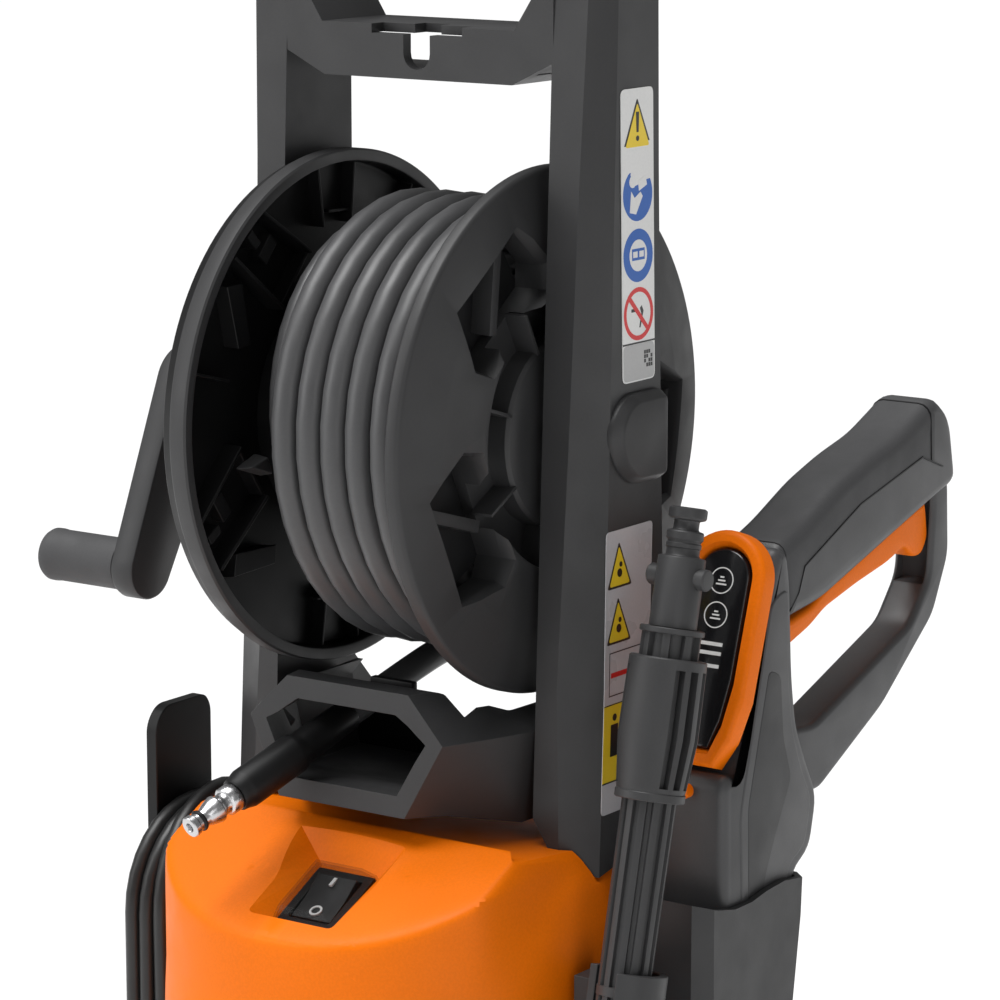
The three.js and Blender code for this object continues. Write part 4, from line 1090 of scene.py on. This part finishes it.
def wheel(node):
    """A ribbed wheel with a tread of cross bars, inside the radius of the CAD wheel"""
    low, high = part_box(node)
    centre = TO_ROW.inverted() @ ((low + high) / 2)
    half = [(83.6, 11), (82, 14.4), (79, 15.6), (70, 15), (68, 14), (66, 7), (64, 5), (20, 5), (18, 13),
            (17, 14), (6.3, 14)]
    rim = turned([(r, -h) for r, h in reversed(half)] + half, "x", (0, 0, 0), 96)
    bars = [(block((-12, 12), (-3, 3), (83, 84.9)), 360 / TREAD_BARS * k) for k in range(TREAD_BARS)]
    ribs = [(block((-10.5, 10.5), (-1.7, 1.7), (17.4, 67)), 360 / WHEEL_RIBS * k) for k in range(WHEEL_RIBS)]
    for mesh, angle in bars + ribs:
        mesh.transform(Matrix.Rotation(radians(angle), 4, "X"))
    whole = joined(rim, *[mesh for mesh, angle in bars + ribs])
    whole.transform(Matrix.Translation(centre))
    show(node + "_smooth", whole, body_of(node), BLACK, [node])


SLOT_COUNT, SLOT_PITCH, FIRST_SLOT = 6, 14, -247


def rear_cover():
    """The back plate with rounded edges and a row of sloping slats behind its slots"""
    heights = [FIRST_SLOT - SLOT_PITCH * i for i in range(SLOT_COUNT)]
    slots = [block((-48, 48), (60, 70), (z - 3, z + 3)) for z in heights]
    inlet = turned([(0, 20), (11, 20), (11, 80), (0, 80)], "y", (0, 0, -520), 48)
    shell = combined(rounded(block((-69.6, 69.6), (29.5, 66), (-556, -176)), 1.5, 40),
                     [block((-66.6, 66.6), (20, 63), (-552, -180)), inlet] + slots, "DIFFERENCE")
    slats = [tilted(block((-50, 50), (-0.8, 0.8), (-7, 7)), (0, 58.5, z + 4), radians(-35)) for z in heights]
    show("rear_cover_smooth", joined(shell, *slats), "machine", BLACK, ["rear_cover"])


hose_fittings = fittings()
rear_cover()
wheel("wheel_left")
wheel("wheel_right")
cord_hook("cord_hook_upper", HOOK_TOP, 1, "cord_hook")
cord_hook("cord_hook_lower", HOOK_LOW, -1, "machine")
guide = joined(block((-5, 18), (-50, -46), (-118, -108)), block((-62, 62), (9.5, 13.5), (-164, -140.4)))
show("tray_guide", rounded(guide, 0.8, 40), "machine", BLACK)


# ---- all other parts from the CAD
MATERIALS = {
    "dark_plastic": DARK, "black_plastic": BLACK, "orange_plastic": ORANGE, "soft_rubber": RUBBER,
    "hose_rubber": HOSE, "cord_rubber": CORD, "steel": STEEL, "aluminium": ALUMINIUM, "cast_metal": CAST,
    "clear_plastic": CLEAR}
ROUNDED = {"frame": 1.3, "hose_tray": 1.0, "gun_holster": 0.8, "base_chassis": 1.0,
           "handle_grip": 1.5, "lance_clip": 0.5, "handle_button": 1.0,
           "switch_bezel": 0.6, "switch_rocker": 0.6, "lance_cup": 0.6}
for node in frame["nodes"]:
    if node in stood_for:
        continue
    if node in ROUNDED:
        refined(node, MATERIALS[slot_of(node)], ROUNDED[node])
    else:
        carried(node, MATERIALS[slot_of(node)])


# ---- floor, light
def floor():
    mat, nodes, links, shader = tree("studio_floor")
    stops = [(0.3, (0.90, 0.90, 0.90)), (0.7, (0.91, 0.91, 0.91))]
    links.new(ramp(nodes, links, noise_node(nodes, links, 3, 2), stops), shader.inputs["Base Color"])
    shader.inputs["Roughness"].default_value = 0.9
    mesh = bpy.data.meshes.new("floor")
    mesh.from_pydata([(-40, -40, 0), (40, -40, 0), (40, 40, 0), (-40, 40, 0)], [], [(0, 1, 2, 3)])
    mesh.materials.append(mat)
    added("floor", mesh)


def lamp(name, place, aim, size, power):
    data = bpy.data.lights.new(name, "AREA")
    data.shape = "RECTANGLE"
    data.size, data.size_y = size
    data.energy = power
    lamp_object = added(name, data)
    away = Vector(place) - Vector(aim)
    lamp_object.matrix_world = Matrix.Translation(place) @ away.to_track_quat("Z", "Y").to_matrix().to_4x4()


floor()
bpy.context.scene.view_settings.view_transform = "Standard"
world = bpy.data.worlds.new("studio")
world.use_nodes = True
world.node_tree.nodes["Background"].inputs["Color"].default_value = (1, 1, 1, 1)
world.node_tree.nodes["Background"].inputs["Strength"].default_value = 0.22
bpy.context.scene.world = world
sun = bpy.data.lights.new("overhead", "SUN")
sun.energy = 3.2
sun.angle = radians(40)
added("overhead", sun).rotation_euler = (radians(12), radians(-14), 0)
lamp("key", (-1.5, -1.6, 1.5), REEL, (1.2, 1.6), 15)
lamp("side", (2.2, -1.6, 1.2), REEL, (0.5, 1.8), 7)
